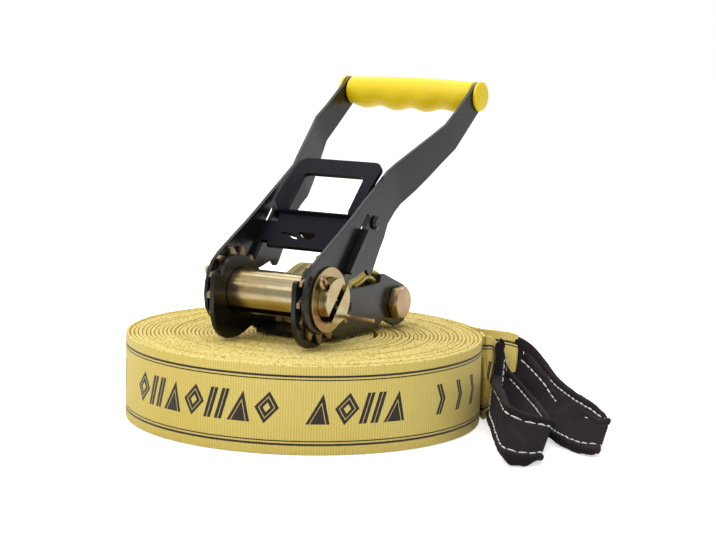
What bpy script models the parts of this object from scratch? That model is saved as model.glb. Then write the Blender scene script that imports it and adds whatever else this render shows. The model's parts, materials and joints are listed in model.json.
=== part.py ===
# A slackline set put away as a roll: a long flat line wound on itself, a long-handled
# ratchet resting on it, and the two sleeved eyes by which line and ratchet are anchored.
# Lengths are metres. +X runs along the ratchet's axle from its left plate to its right one,
# +Y runs from the axle to the rear bolt and +Z is up. The origin is at the middle of the
# roll's underside.
# On the ratchet, points are written (along +Y, along +Z) from the axle, and on its handle
# (along the handle, square to it) from the axle.

import math

import bmesh
import bpy
from mathutils import Vector

MM = 0.001

# Clearances
SEAT_GAP = 0.3 * MM
RUNNING_GAP = 0.3 * MM
CUT_OVERRUN = 2.0 * MM

# Webbing and the roll
WEBBING_WIDTH = 50.0 * MM
WEBBING_THICKNESS = 1.9 * MM
TURN_GAP = 0.5 * MM
ROLL_RADIUS = 107.2 * MM
SHOWN_TURNS = 24
POINTS_PER_TURN = 24
LINE_LEAVES_DEG = 56.0
STRAP_LEAVES_DEG = 16.0
STRAP_SHOWS_DEG = 30.0
CORE_SLOT_WIDTH = 4.4 * MM
CORE_SLOT_DEPTH = 17.0 * MM

# Sleeved eyes
SLEEVE_WIDTH = 48.0 * MM
SLEEVE_THICKNESS = 3.0 * MM
EYE_STEPS = 4
TAIL_STEPS = 3

# Ratchet frame
AXLE_OFFSET = 3.8 * MM
AXLE_BACKSET = 39.3 * MM
FRAME_SIDE_ROOM = 0.8 * MM
FRAME_PLATE = 2.8 * MM
FRAME_DEPTH = 27.5 * MM
BOLT_REACH = 90.5 * MM
BOLT_DROP = 13.0 * MM
BOLT_RADIUS = 5.9 * MM
BOLT_HEAD_ACROSS = 18.5 * MM
BOLT_HEAD_HEIGHT = 5.6 * MM
BOLT_FACE_RADIUS = 9.0 * MM
NUT_HEIGHT = 7.0 * MM
BOLT_TAIL = 3.0 * MM
SPACER_RADIUS = 8.0 * MM
WEB_THICKNESS = 2.8 * MM
WEB_FRONT = 18.5 * MM
WEB_BACK = 33.0 * MM
WEB_LIP = 4.0 * MM

# Reel
REEL_RADIUS = 13.0 * MM
REEL_SLOT = 5.0 * MM
REEL_OVERHANG = 5.8 * MM
REEL_ANGLE_DEG = 48.0
GEAR_THICKNESS = 2.2 * MM
GEAR_TIP_RADIUS = 25.5 * MM
GEAR_ROOT_RADIUS = 20.5 * MM
GEAR_TEETH = 13
WASHER_RADIUS = 18.8 * MM
WASHER_THICKNESS = 1.3 * MM
PIN_WIRE = 2.2 * MM
PIN_EYE_WIDTH = 4.4 * MM
PIN_EYE_LENGTH = 6.6 * MM
PIN_LONG_LEG = 15.0 * MM
PIN_SHORT_LEG = 4.4 * MM
PIN_INSET = 2.9 * MM

# Handle
HANDLE_ANGLE_DEG = 35.1
HANDLE_PLATE = 2.4 * MM
HANDLE_FLARE = 13.4 * MM
FLARE_START = 96.0 * MM
FLARE_END = 150.0 * MM
GRIP_REACH = 192.6 * MM
HANDLE_END_RADIUS = 9.0 * MM
HANDLE_BORE_ROOM = 4.5 * MM
GRIP_RADIUS = 8.9 * MM
GRIP_BULGE = 1.2 * MM
GRIP_WAVE = 1.0 * MM
GRIP_WAVES = 4
GRIP_ROD_RADIUS = 4.0 * MM
GRIP_CAP_RADIUS = 9.4 * MM
GRIP_CAP_HEIGHT = 3.0 * MM
CROSS_ROD_REACH = 64.3 * MM
CROSS_ROD_DROP = 8.6 * MM
CROSS_ROD_RADIUS = 3.0 * MM
RIVET_RADIUS = 2.0 * MM
RIVET_HEAD_RADIUS = 4.2 * MM
RIVET_HEAD_HEIGHT = 2.2 * MM

# Drive pawl, which slides in the handle along a line that passes under the axle
GUIDE_ANGLE_DEG = 13.0
GUIDE_OFFSET = 4.2 * MM
GUIDE_SLOT_START = 21.2 * MM
GUIDE_SLOT_END = 63.4 * MM
PAWL_PLATE = 3.0 * MM
PAWL_FRONT = 35.0 * MM
PAWL_NOSE = 26.0 * MM
PAWL_EAR_START = 22.0 * MM
PAWL_EAR_END = 52.4 * MM
PAWL_EAR_OVERHANG = 5.0 * MM
PAWL_SIDE_ROOM = 1.8 * MM
PAWL_BEND = 56.5 * MM
BAIL_REACH = 99.5 * MM
BAIL_OFFSET = 2.0 * MM
BAIL_SIDE_REACH = 3.0 * MM
BAIL_CORNER = 6.0 * MM
BAIL_BAR = 12.0 * MM
BAIL_WINDOW_INSET = 5.0 * MM
BAIL_LEG_SIDE_REACH = 3.8 * MM
PAWL_TAB_PLACE = 46.0 * MM
PAWL_TAB_HALF_WIDTH = 5.5 * MM
PAWL_TAB_DEPTH = 9.4 * MM
PAWL_SPRING_DEPTH = 6.4 * MM
PAWL_SPRING_RADIUS = 2.2 * MM
SPRING_WIRE = 0.8 * MM
PAWL_SPRING_CURLS = 6

# Lock pawl, which slides in the frame behind the reel
LOCK_THICKNESS = 4.0 * MM
LOCK_HEIGHT = 9.0 * MM
LOCK_NOSE = 25.2 * MM
LOCK_BACK = 33.0 * MM
LOCK_RECESS = 4.5 * MM
LOCK_TRAVEL = 3.0 * MM

# Derived places
AXLE_HEIGHT = WEBBING_WIDTH + SEAT_GAP + FRAME_DEPTH
FRAME_INNER = WEBBING_WIDTH / 2 + FRAME_SIDE_ROOM
FRAME_OUTER = FRAME_INNER + FRAME_PLATE
GEAR_INNER = FRAME_OUTER + RUNNING_GAP
GEAR_OUTER = GEAR_INNER + GEAR_THICKNESS
HANDLE_INNER = GEAR_OUTER + RUNNING_GAP
HANDLE_OUTER = HANDLE_INNER + HANDLE_PLATE
WASHER_INNER = HANDLE_OUTER + SEAT_GAP
WASHER_OUTER = WASHER_INNER + WASHER_THICKNESS
REEL_HALF_LENGTH = WASHER_OUTER + REEL_OVERHANG
PAWL_HALF_WIDTH = FRAME_INNER - PAWL_SIDE_ROOM
PAWL_NOSE_REACH = HANDLE_INNER - RUNNING_GAP / 2
PAWL_EAR_REACH = HANDLE_OUTER + PAWL_EAR_OVERHANG
BAIL_HALF_WIDTH = FRAME_INNER + BAIL_SIDE_REACH
BAIL_LEG_REACH = FRAME_INNER + BAIL_LEG_SIDE_REACH
BAIL_WINDOW_HALF_WIDTH = FRAME_INNER - BAIL_WINDOW_INSET
BAIL_WINDOW_TOP = BAIL_REACH - BAIL_BAR
PITCH = WEBBING_THICKNESS + TURN_GAP
BORE_RADIUS = REEL_RADIUS + RUNNING_GAP
HANDLE_BORE_RADIUS = REEL_RADIUS + HANDLE_BORE_ROOM
AXLE = Vector((AXLE_OFFSET, -AXLE_BACKSET, AXLE_HEIGHT))
GUIDE_ANGLE = math.radians(GUIDE_ANGLE_DEG)
GUIDE_FOOT = (GUIDE_OFFSET * math.sin(GUIDE_ANGLE), -GUIDE_OFFSET * math.cos(GUIDE_ANGLE))
GUIDE_SLOT_WIDTH = PAWL_PLATE + 2 * RUNNING_GAP

# Frame plate outline, as shares of BOLT_REACH: the front lobe downwards, the underside
# rearwards with its two notches, the boss at the bolt, and the top back to the horn.
FRAME_SHARES = [
    (-0.286, 0.010), (-0.287, -0.090), (-0.274, -0.163), (-0.245, -0.224), (-0.188, -0.276),
    (-0.122, -0.301), (-0.055, -0.304), (0.005, -0.302), (0.060, -0.288), (0.120, -0.267),
    (0.171, -0.252), (0.220, -0.279), (0.270, -0.294), (0.440, -0.298), (0.564, -0.293),
    (0.762, -0.281), (0.838, -0.243), (0.917, -0.274), (0.990, -0.304), (1.070, -0.300),
    (1.125, -0.286), (1.162, -0.230), (1.170, -0.140), (1.160, -0.069), (1.097, -0.032),
    (0.835, 0.067), (0.790, 0.067), (0.779, 0.019), (0.704, 0.010), (0.499, 0.010),
    (0.335, 0.021), (0.246, 0.105), (0.159, 0.170), (0.107, 0.203), (0.057, 0.220),
    (0.007, 0.226), (-0.042, 0.226), (-0.092, 0.220), (-0.131, 0.201), (-0.168, 0.164),
    (-0.191, 0.113), (-0.241, 0.140), (-0.272, 0.135), (-0.284, 0.093)]

# Handle plate outline, as shares of GRIP_REACH: its front edge towards the grip, then its
# rear edge from the grip back past the hook and round the axle.
HANDLE_FRONT_SHARES = [
    (-0.021, 0.132), (0.023, 0.133), (0.104, 0.123), (0.182, 0.113), (0.260, 0.105),
    (0.343, 0.099), (0.415, 0.092), (0.478, 0.087), (0.540, 0.083), (0.618, 0.074),
    (0.701, 0.064), (0.779, 0.056), (0.857, 0.049), (0.966, 0.045)]
HANDLE_REAR_SHARES = [
    (0.955, -0.044), (0.872, -0.045), (0.779, -0.045), (0.706, -0.047), (0.639, -0.051),
    (0.571, -0.052), (0.512, -0.049), (0.455, -0.045), (0.405, -0.048), (0.361, -0.070),
    (0.322, -0.082), (0.289, -0.095), (0.256, -0.109), (0.239, -0.113), (0.227, -0.106),
    (0.224, -0.091), (0.225, -0.080), (0.193, -0.067), (0.169, -0.058), (0.129, -0.039),
    (0.104, -0.049), (0.062, -0.080), (0.021, -0.099), (-0.021, -0.099), (-0.059, -0.085),
    (-0.088, -0.060), (-0.111, -0.026), (-0.123, 0.000), (-0.123, 0.036), (-0.106, 0.073),
    (-0.081, 0.100), (-0.052, 0.120)]

# Side line of the drive pawl's pressing, (along the guide, square to it) as shares of
# BAIL_REACH.
PAWL_SIDE_SHARES = [
    (0.300, 0.000), (0.575, 0.000), (0.592, 0.008), (0.602, 0.031), (0.618, 0.040),
    (0.860, 0.028), (1.040, 0.009)]

# Route of the short strap on the ratchet, as shares of BOLT_REACH: its sewn end under the
# long part, then, past the loop round the spacer, the hump towards the dive into the roll.
STRAP_UNDER_SHARES = [
    (0.530, 0.010), (0.600, 0.028), (0.670, 0.052), (0.730, 0.052), (0.790, 0.022),
    (0.850, -0.030), (0.886, -0.085)]
STRAP_OVER_SHARES = [
    (0.955, -0.028), (0.900, 0.018), (0.840, 0.058), (0.780, 0.084), (0.720, 0.093),
    (0.660, 0.084), (0.590, 0.060), (0.530, 0.042), (0.480, 0.030)]

# Places of the eyes and of the tails that lead to them, as shares of WEBBING_WIDTH. Each
# entry is the lower edge of the webbing (x, y, z), how far it leans from upright and the
# way that it leans, both in degrees.
LINE_TAIL_SHARES = [
    (1.40, 1.60, 0.00, 1, 109), (1.61, 1.43, 0.01, 3, 109), (1.78, 1.30, 0.02, 6, 109),
    (1.93, 1.22, 0.03, 10, 109), (2.10, 1.15, 0.04, 14, 109), (2.20, 1.09, 0.04, 18, 109)]
STRAP_TAIL_SHARES = [
    (2.12, 0.45, 0.01, 2, 111), (2.22, 0.30, 0.04, 8, 111), (2.34, 0.16, 0.09, 15, 111),
    (2.46, 0.04, 0.14, 22, 111), (2.55, -0.04, 0.16, 25, 111), (2.61, -0.10, 0.15, 28, 111)]
LINE_EYE_SHARES = [
    (2.12, 1.22, 0.04, 14, 109), (2.44, 1.09, 0.04, 30, 106), (2.83, 0.81, 0.04, 46, 103),
    (3.19, 0.49, 0.04, 56, 105), (3.53, 0.20, 0.04, 62, 107), (3.73, 0.02, 0.05, 65, 107),
    (3.79, -0.13, 0.05, 66, 107), (3.70, -0.20, 0.05, 66, 107), (3.49, -0.08, 0.04, 63, 105),
    (3.17, 0.20, 0.04, 56, 103), (2.77, 0.54, 0.04, 44, 101), (2.39, 0.87, 0.04, 28, 106),
    (2.07, 1.07, 0.04, 14, 109)]
STRAP_EYE_SHARES = [
    (2.58, 0.02, 0.16, 25, 111), (2.69, 0.09, 0.10, 38, 106), (2.89, 0.05, 0.04, 52, 105),
    (3.09, -0.09, 0.04, 62, 109), (3.23, -0.31, 0.04, 67, 113), (3.29, -0.55, 0.04, 66, 117),
    (3.24, -0.75, 0.04, 62, 119), (3.04, -0.73, 0.04, 50, 119), (2.81, -0.54, 0.12, 42, 119),
    (2.61, -0.31, 0.18, 34, 117), (2.51, -0.11, 0.16, 25, 111)]


# Scene and materials

def clear_scene():
    for item in list(bpy.data.objects):
        bpy.data.objects.remove(item, do_unlink=True)


def make_material(name, colour, roughness, metallic):
    material = bpy.data.materials.new(name)
    material.use_nodes = True
    shader = material.node_tree.nodes["Principled BSDF"]
    shader.inputs["Base Color"].default_value = (*colour, 1.0)
    shader.inputs["Roughness"].default_value = roughness
    shader.inputs["Metallic"].default_value = metallic
    material.diffuse_color = (*colour, 1.0)
    return material


def make_empty(name, place, tilt_deg=0.0):
    empty = bpy.data.objects.new(name, None)
    bpy.context.collection.objects.link(empty)
    empty.location = place
    empty.rotation_euler = (math.radians(tilt_deg), 0.0, 0.0)
    return empty


# Outlines in a plane

def arc(radius, start_deg, stop_deg, steps, centre=(0.0, 0.0)):
    points = []
    for step in range(steps + 1):
        angle = math.radians(start_deg + (stop_deg - start_deg) * step / steps)
        points.append((centre[0] + radius * math.cos(angle), centre[1] + radius * math.sin(angle)))
    return points


def circle(radius, steps, centre=(0.0, 0.0)):
    return arc(radius, 0.0, 360.0, steps, centre)[:-1]


def scaled(shares, size):
    return [(a * size, b * size) for a, b in shares]


def smooth_through(points, steps):
    # A Catmull-Rom curve through points of any dimension, with the ends carried straight on.
    knots = [Vector(point) for point in points]
    knots = [knots[0] * 2 - knots[1], *knots, knots[-1] * 2 - knots[-2]]
    curve = []
    for index in range(1, len(knots) - 2):
        before, start, stop, after = knots[index - 1:index + 3]
        for step in range(steps):
            t = step / steps
            curve.append((start * 2 + (stop - before) * t
                          + (before * 2 - start * 5 + stop * 4 - after) * t ** 2
                          + (start * 3 - before - stop * 3 + after) * t ** 3) / 2)
    curve.append(knots[-2])
    return curve


def band_outline(route, thickness):
    # The closed outline of a strip of even thickness along a route in a plane.
    near, far = [], []
    for index, point in enumerate(route):
        before = Vector(route[max(index - 1, 0)])
        after = Vector(route[min(index + 1, len(route) - 1)])
        along = (after - before).normalized()
        across = Vector((-along.y, along.x)) * thickness / 2
        near.append(Vector(point) + across)
        far.append(Vector(point) - across)
    return [tuple(point) for point in near + far[::-1]]


def guide_point(along, across):
    # From the drive pawl's own lines to the handle's.
    cosine, sine = math.cos(GUIDE_ANGLE), math.sin(GUIDE_ANGLE)
    return (GUIDE_FOOT[0] + along * cosine - across * sine,
            GUIDE_FOOT[1] + along * sine + across * cosine)


# Solids

def finish_mesh(name, mesh_data, parent, material, sharp_deg=None):
    bmesh.ops.recalc_face_normals(mesh_data, faces=mesh_data.faces)
    mesh = bpy.data.meshes.new(name)
    mesh_data.to_mesh(mesh)
    mesh_data.free()
    if sharp_deg is not None:
        mesh.shade_smooth()
        mesh.set_sharp_from_angle(angle=math.radians(sharp_deg))
    mesh.materials.append(material)
    piece = bpy.data.objects.new(name, mesh)
    bpy.context.collection.objects.link(piece)
    piece.parent = parent
    return piece


def plate_mesh(outline, low, high, holes=()):
    # A flat plate standing square to X from low to high, with any holes.
    mesh_data = bmesh.new()
    edges = []
    for ring in (outline, *holes):
        verts = [mesh_data.verts.new((low, a, b)) for a, b in ring]
        for index, vert in enumerate(verts):
            edges.append(mesh_data.edges.new((vert, verts[(index + 1) % len(verts)])))
    bmesh.ops.triangle_fill(mesh_data, use_beauty=True, use_dissolve=False, edges=edges)
    pushed = bmesh.ops.extrude_face_region(mesh_data, geom=list(mesh_data.faces))
    moved = [item for item in pushed["geom"] if isinstance(item, bmesh.types.BMVert)]
    bmesh.ops.translate(mesh_data, vec=(high - low, 0.0, 0.0), verts=moved)
    return mesh_data


def plate(name, outline, low, high, parent, material, holes=()):
    return finish_mesh(name, plate_mesh(outline, low, high, holes), parent, material, 35.0)


def ring_solid(name, rings, parent, material, closed_loop=False, sharp_deg=35.0):
    # Faces between rings of points, closed end to end or capped.
    mesh_data = bmesh.new()
    rows = [[mesh_data.verts.new(point) for point in ring] for ring in rings]
    count = len(rows[0])
    pairs = list(zip(rows, rows[1:]))
    if closed_loop:
        pairs.append((rows[-1], rows[0]))
    else:
        mesh_data.faces.new(rows[0])
        mesh_data.faces.new(rows[-1][::-1])
    for first, second in pairs:
        for index in range(count):
            following = (index + 1) % count
            mesh_data.faces.new((first[index], first[following], second[following], second[index]))
    return finish_mesh(name, mesh_data, parent, material, sharp_deg)


def turned(name, profile, steps, parent, material, centre=(0.0, 0.0), closed_loop=False):
    # Turns a profile of (place along X, radius) about a line along X.
    rings = []
    for place, radius in profile:
        rings.append([(place, a, b) for a, b in circle(radius, steps, centre)])
    return ring_solid(name, rings, parent, material, closed_loop)


def tube(name, route, radius, sides, parent, material):
    # A round wire along a route in space, its rings carried on without twist.
    points = [Vector(point) for point in route]
    rings = []
    side_way = None
    for index, point in enumerate(points):
        before = points[max(index - 1, 0)]
        after = points[min(index + 1, len(points) - 1)]
        along = (after - before).normalized()
        if side_way is None:
            side_way = along.orthogonal()
        side_way = (side_way - along * side_way.dot(along)).normalized()
        other_way = along.cross(side_way)
        rings.append([point + side_way * a + other_way * b for a, b in circle(radius, sides)])
    return ring_solid(name, rings, parent, material)


def lean_way(lean_deg, toward_deg):
    lean, toward = math.radians(lean_deg), math.radians(toward_deg)
    return Vector((math.sin(lean) * math.cos(toward), math.sin(lean) * math.sin(toward),
                   math.cos(lean)))


def standing_band(name, stations, width, thickness, material, sharp_deg=35.0):
    # A flat band on its edge. A station is its lower edge and the way up across it.
    rings = []
    for index, (foot, up_way) in enumerate(stations):
        before = stations[max(index - 1, 0)][0]
        after = stations[min(index + 1, len(stations) - 1)][0]
        face_way = (after - before).cross(up_way).normalized() * thickness / 2
        top = foot + up_way * width
        rings.append([foot - face_way, foot + face_way, top + face_way, top - face_way])
    return ring_solid(name, rings, None, material, sharp_deg=sharp_deg)


def eye_stations(shares, steps):
    stations = []
    for x, y, z, lean, toward in smooth_through(shares, steps):
        stations.append((Vector((x, y, z)) * WEBBING_WIDTH, lean_way(lean, toward)))
    return stations


def cut(piece, cutter, operation="DIFFERENCE"):
    tool = piece.modifiers.new(operation.lower(), "BOOLEAN")
    tool.operation = operation
    tool.object = cutter
    tool.solver = "EXACT"
    cutter.hide_render = True
    cutter.display_type = "WIRE"


def least_gap(stations, skip, width, thickness):
    # The least clear distance between stretches of a band that are not neighbours.
    heights = (0.0, width / 2, width)
    rows = [[foot + up_way * height for height in heights] for foot, up_way in stations]
    least = width
    for index, row in enumerate(rows):
        for other in rows[index + skip:]:
            for point in row:
                for match in other:
                    least = min(least, (match - point).length - thickness)
    return least


# Roll

def roll_point(turned_deg):
    # The line's middle, so many degrees before it leaves the roll, counted inwards.
    radius = ROLL_RADIUS - WEBBING_THICKNESS / 2 - PITCH * turned_deg / 360.0
    angle = math.radians(LINE_LEAVES_DEG + turned_deg)
    return Vector((radius * math.cos(angle), radius * math.sin(angle), 0.0))


def make_line(webbing):
    step_deg = 360.0 / POINTS_PER_TURN
    count = SHOWN_TURNS * POINTS_PER_TURN
    wound = [roll_point(step_deg * index) for index in range(count, -1, -1)]
    stations = [(point, Vector((0.0, 0.0, 1.0))) for point in wound]
    standing_band("line_webbing", stations, WEBBING_WIDTH, WEBBING_THICKNESS, webbing)
    # The stretch that leaves the roll is a node of its own, so that its collision is too.
    onward = (wound[-1] - wound[-2]).normalized()
    leave = (wound[-1] + onward * SEAT_GAP) / WEBBING_WIDTH
    tail = [(leave.x, leave.y, leave.z, 0, LINE_TAIL_SHARES[0][4]), *LINE_TAIL_SHARES]
    standing_band("line_tail", eye_stations(tail, TAIL_STEPS), WEBBING_WIDTH,
                  WEBBING_THICKNESS, webbing)
    across = [wound[index + POINTS_PER_TURN].length - wound[index].length
              for index in range(count - POINTS_PER_TURN + 1)]
    print("line turns: least gap mm", round((min(across) - WEBBING_THICKNESS) / MM, 3))


def make_core(webbing):
    inner = ROLL_RADIUS - WEBBING_THICKNESS - PITCH * SHOWN_TURNS - TURN_GAP
    rings = [[(a, b, height) for a, b in circle(inner, 2 * POINTS_PER_TURN)]
             for height in (0.0, WEBBING_WIDTH)]
    core = ring_solid("roll_core", rings, None, webbing)
    half_width = WEBBING_WIDTH / 2 + TURN_GAP
    slot = [(-CORE_SLOT_WIDTH / 2, WEBBING_WIDTH - CORE_SLOT_DEPTH),
            (CORE_SLOT_WIDTH / 2, WEBBING_WIDTH - CORE_SLOT_DEPTH),
            (CORE_SLOT_WIDTH / 2, WEBBING_WIDTH + CUT_OVERRUN),
            (-CORE_SLOT_WIDTH / 2, WEBBING_WIDTH + CUT_OVERRUN)]
    low, high = AXLE_OFFSET - half_width, AXLE_OFFSET + half_width
    cut(core, plate("core_slot_cutter", slot, low, high, None, webbing))


def make_strap_tail(webbing):
    # The ratchet strap's outer end: a short stretch on the roll, then out to its eye.
    stations = []
    for step in range(4):
        on_roll = STRAP_SHOWS_DEG + (STRAP_LEAVES_DEG - STRAP_SHOWS_DEG) * step / 3
        under = roll_point(on_roll - LINE_LEAVES_DEG + 360.0)
        stations.append((under.normalized() * (under.length + PITCH), Vector((0.0, 0.0, 1.0))))
    leave = stations[-1][0] / WEBBING_WIDTH
    tail = [(leave.x, leave.y, leave.z, 0, STRAP_TAIL_SHARES[0][4]), *STRAP_TAIL_SHARES]
    stations += eye_stations(tail, TAIL_STEPS)[1:]
    standing_band("ratchet_strap_tail", stations, WEBBING_WIDTH, WEBBING_THICKNESS, webbing)


def make_sleeve(name, shares, sleeve):
    stations = eye_stations(shares, EYE_STEPS)
    standing_band(name, stations, SLEEVE_WIDTH, SLEEVE_THICKNESS, sleeve, 60.0)
    gap = least_gap(stations, 3 * EYE_STEPS, SLEEVE_WIDTH, SLEEVE_THICKNESS)
    print(name, "least gap mm", round(gap / MM, 3))


# Ratchet frame

def make_frame(steel):
    place = make_empty("ratchet_place", AXLE)
    outline = scaled(FRAME_SHARES, BOLT_REACH)
    low = -LOCK_HEIGHT - LOCK_THICKNESS / 2 - RUNNING_GAP
    high = -LOCK_HEIGHT + LOCK_THICKNESS / 2 + RUNNING_GAP
    start = LOCK_NOSE - RUNNING_GAP
    stop = LOCK_BACK + LOCK_TRAVEL + RUNNING_GAP
    lock_slot = [(start, low), (stop, low), (stop, high), (start, high)]
    holes = [circle(BORE_RADIUS, 32),
             circle(BOLT_RADIUS + SEAT_GAP, 20, (BOLT_REACH, -BOLT_DROP)), lock_slot]
    plate("frame_right_plate", outline, FRAME_INNER, FRAME_OUTER, place, steel, holes)
    plate("frame_left_plate", outline, -FRAME_OUTER, -FRAME_INNER, place, steel, holes)
    middle = FRAME_DEPTH - WEB_THICKNESS / 2
    route = [(WEB_FRONT, -middle), (WEB_BACK, -middle), (WEB_BACK + WEB_LIP, -middle + WEB_LIP / 2)]
    reach = FRAME_INNER - SEAT_GAP
    plate("frame_web", band_outline(route, WEB_THICKNESS), -reach, reach, place, steel)
    return place


def hexagon_ring(place, centre, limit):
    # A ring of points round a hexagon whose corners are turned down to the limit.
    ring = []
    for step in range(36):
        angle = math.radians(10.0 * step)
        radius = BOLT_HEAD_ACROSS / 2 / math.cos(math.radians((10.0 * step) % 60.0 - 30.0))
        radius = min(radius, limit)
        ring.append((place, centre[0] + radius * math.cos(angle),
                     centre[1] + radius * math.sin(angle)))
    return ring


def make_rear_bolt(place, zinc):
    # The bolt with its head is one piece. The nut and the spacer are threaded on it.
    centre = (BOLT_REACH, -BOLT_DROP)
    head_from = FRAME_OUTER + SEAT_GAP
    head_to = head_from + BOLT_HEAD_HEIGHT
    reach = FRAME_INNER - SEAT_GAP
    corner = BOLT_HEAD_ACROSS
    shank = [hexagon_ring(-head_from - NUT_HEIGHT - BOLT_TAIL, centre, BOLT_RADIUS),
             hexagon_ring(head_from, centre, BOLT_RADIUS)]
    head = [hexagon_ring(head_from, centre, corner),
            hexagon_ring(head_to - BOLT_HEAD_HEIGHT / 4, centre, corner),
            hexagon_ring(head_to, centre, BOLT_FACE_RADIUS)]
    ring_solid("rear_bolt", shank + head, place, zinc, sharp_deg=20.0)
    bore = BOLT_RADIUS + SEAT_GAP
    nut = [hexagon_ring(-head_from, centre, bore), hexagon_ring(-head_from, centre, corner),
           hexagon_ring(-head_from - NUT_HEIGHT, centre, corner),
           hexagon_ring(-head_from - NUT_HEIGHT, centre, bore)]
    ring_solid("rear_nut", nut, place, zinc, closed_loop=True, sharp_deg=20.0)
    turned("rear_spacer", [(-reach, bore), (reach, bore), (reach, SPACER_RADIUS),
                           (-reach, SPACER_RADIUS)], 20, place, zinc, centre, closed_loop=True)


def make_ratchet_strap(place, webbing):
    # Sewn back on itself round the spacer, it runs forward and dives into the roll's core.
    loop_radius = SPACER_RADIUS + SEAT_GAP + WEBBING_THICKNESS / 2
    centre = (BOLT_REACH, -BOLT_DROP)
    under = smooth_through(scaled(STRAP_UNDER_SHARES, BOLT_REACH), 3)
    loop = arc(loop_radius, 190.0, 440.0, 20, centre)
    drop = WEBBING_WIDTH - CORE_SLOT_DEPTH + 2 * SEAT_GAP
    dive = [(AXLE_BACKSET + WEBBING_THICKNESS, -BOLT_DROP / 12),
            (AXLE_BACKSET + WEBBING_THICKNESS / 6, -BOLT_DROP / 3),
            (AXLE_BACKSET, -BOLT_DROP * 3 / 4), (AXLE_BACKSET, drop - AXLE_HEIGHT)]
    over = scaled(STRAP_OVER_SHARES, BOLT_REACH) + dive
    over = smooth_through(over, 3)
    route = [tuple(point) for point in under] + loop + [tuple(point) for point in over]
    half = WEBBING_WIDTH / 2
    plate("ratchet_strap", band_outline(route, WEBBING_THICKNESS), -half, half, place, webbing)


# Reel

def half_moon(radius, slot, steps):
    start = math.degrees(math.asin(slot / 2 / radius))
    return arc(radius, start, 180.0 - start, steps)


def gear_outline():
    points = []
    tooth = 360.0 / GEAR_TEETH
    for index in range(GEAR_TEETH):
        for radius, share in ((GEAR_ROOT_RADIUS, 0.0), (GEAR_ROOT_RADIUS, 0.25),
                              (GEAR_TIP_RADIUS, 0.72), (GEAR_TIP_RADIUS, 0.96)):
            angle = math.radians(tooth * (index + share))
            points.append((radius * math.cos(angle), radius * math.sin(angle)))
    return points


def make_reel(zinc):
    axis = make_empty("reel_axis", AXLE, REEL_ANGLE_DEG)
    pin_place = REEL_HALF_LENGTH - PIN_INSET
    halves = []
    for name, turn in (("upper_half_moon", 1), ("lower_half_moon", -1)):
        outline = [(a * turn, b * turn) for a, b in half_moon(REEL_RADIUS, REEL_SLOT, 14)]
        halves.append(plate(name, outline, -REEL_HALF_LENGTH, REEL_HALF_LENGTH, axis, zinc))
    keys = []
    for turn in (1, -1):
        key = half_moon(REEL_RADIUS + SEAT_GAP, REEL_SLOT - 2 * SEAT_GAP, 14)
        keys.append([(a * turn, b * turn) for a, b in key])
    ring = [(WASHER_INNER, REEL_RADIUS + SEAT_GAP), (WASHER_INNER, WASHER_RADIUS),
            (WASHER_OUTER, WASHER_RADIUS), (WASHER_OUTER, REEL_RADIUS + SEAT_GAP)]
    for side, way in (("left", -1), ("right", 1)):
        low, high = sorted((way * GEAR_INNER, way * GEAR_OUTER))
        plate(side + "_ratchet_gear", gear_outline(), low, high, axis, zinc, keys)
        turned(side + "_end_washer", [(way * place, radius) for place, radius in ring], 32, axis,
               zinc, closed_loop=True)
        make_split_pin(side + "_split_pin", way, pin_place, axis, zinc)
        for half in halves:
            bore = tube(half.name + side + "_cutter",
                        [(way * pin_place, 0.0, -2 * REEL_RADIUS),
                         (way * pin_place, 0.0, 2 * REEL_RADIUS)],
                        PIN_WIRE + RUNNING_GAP, 20, axis, zinc)
            cut(half, bore)


def make_split_pin(name, way, place, axis, zinc):
    # One folded wire: long leg, up through the reel, round the eye and back to a short leg.
    strand = PIN_WIRE / 2 + SEAT_GAP / 2
    foot = -REEL_RADIUS - PIN_WIRE
    neck = REEL_RADIUS + SEAT_GAP
    bend = PIN_WIRE * 5 / 4
    route = [(bend + PIN_LONG_LEG, strand, foot - bend * 4 / 3), (bend * 2, strand, foot - bend),
             (bend, strand, foot - bend), (bend / 3, strand, foot - bend * 2 / 3),
             (0.0, strand, foot), (0.0, strand, neck)]
    eye_centre = neck + PIN_EYE_LENGTH / 2
    for angle_deg in range(-45, 226, 27):
        angle = math.radians(angle_deg)
        route.append((0.0, PIN_EYE_WIDTH / 2 * math.cos(angle),
                      eye_centre + PIN_EYE_LENGTH / 2 * math.sin(angle)))
    route += [(0.0, -strand, neck), (0.0, -strand, foot),
              (0.0, -strand, foot - PIN_SHORT_LEG)]
    route = [(way * (place + x), a, b) for x, a, b in route]
    tube(name, route, PIN_WIRE / 2, 8, axis, zinc)


# Handle

def handle_outline():
    end = arc(HANDLE_END_RADIUS, 72.0, -72.0, 8, (GRIP_REACH, 0.0))
    return (scaled(HANDLE_FRONT_SHARES, GRIP_REACH) + end
            + scaled(HANDLE_REAR_SHARES, GRIP_REACH))


def slot_outline():
    half = GUIDE_SLOT_WIDTH / 2
    corners = [(GUIDE_SLOT_START, -half), (GUIDE_SLOT_END - half, -half)]
    corners += arc(half, -60.0, 60.0, 4, (GUIDE_SLOT_END - half, 0.0))
    corners += [(GUIDE_SLOT_END - half, half), (GUIDE_SLOT_START, half)]
    return [guide_point(along, across) for along, across in corners]


def flare_at(along):
    share = (along - FLARE_START) / (FLARE_END - FLARE_START)
    return HANDLE_FLARE * min(max(share, 0.0), 1.0)


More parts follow.
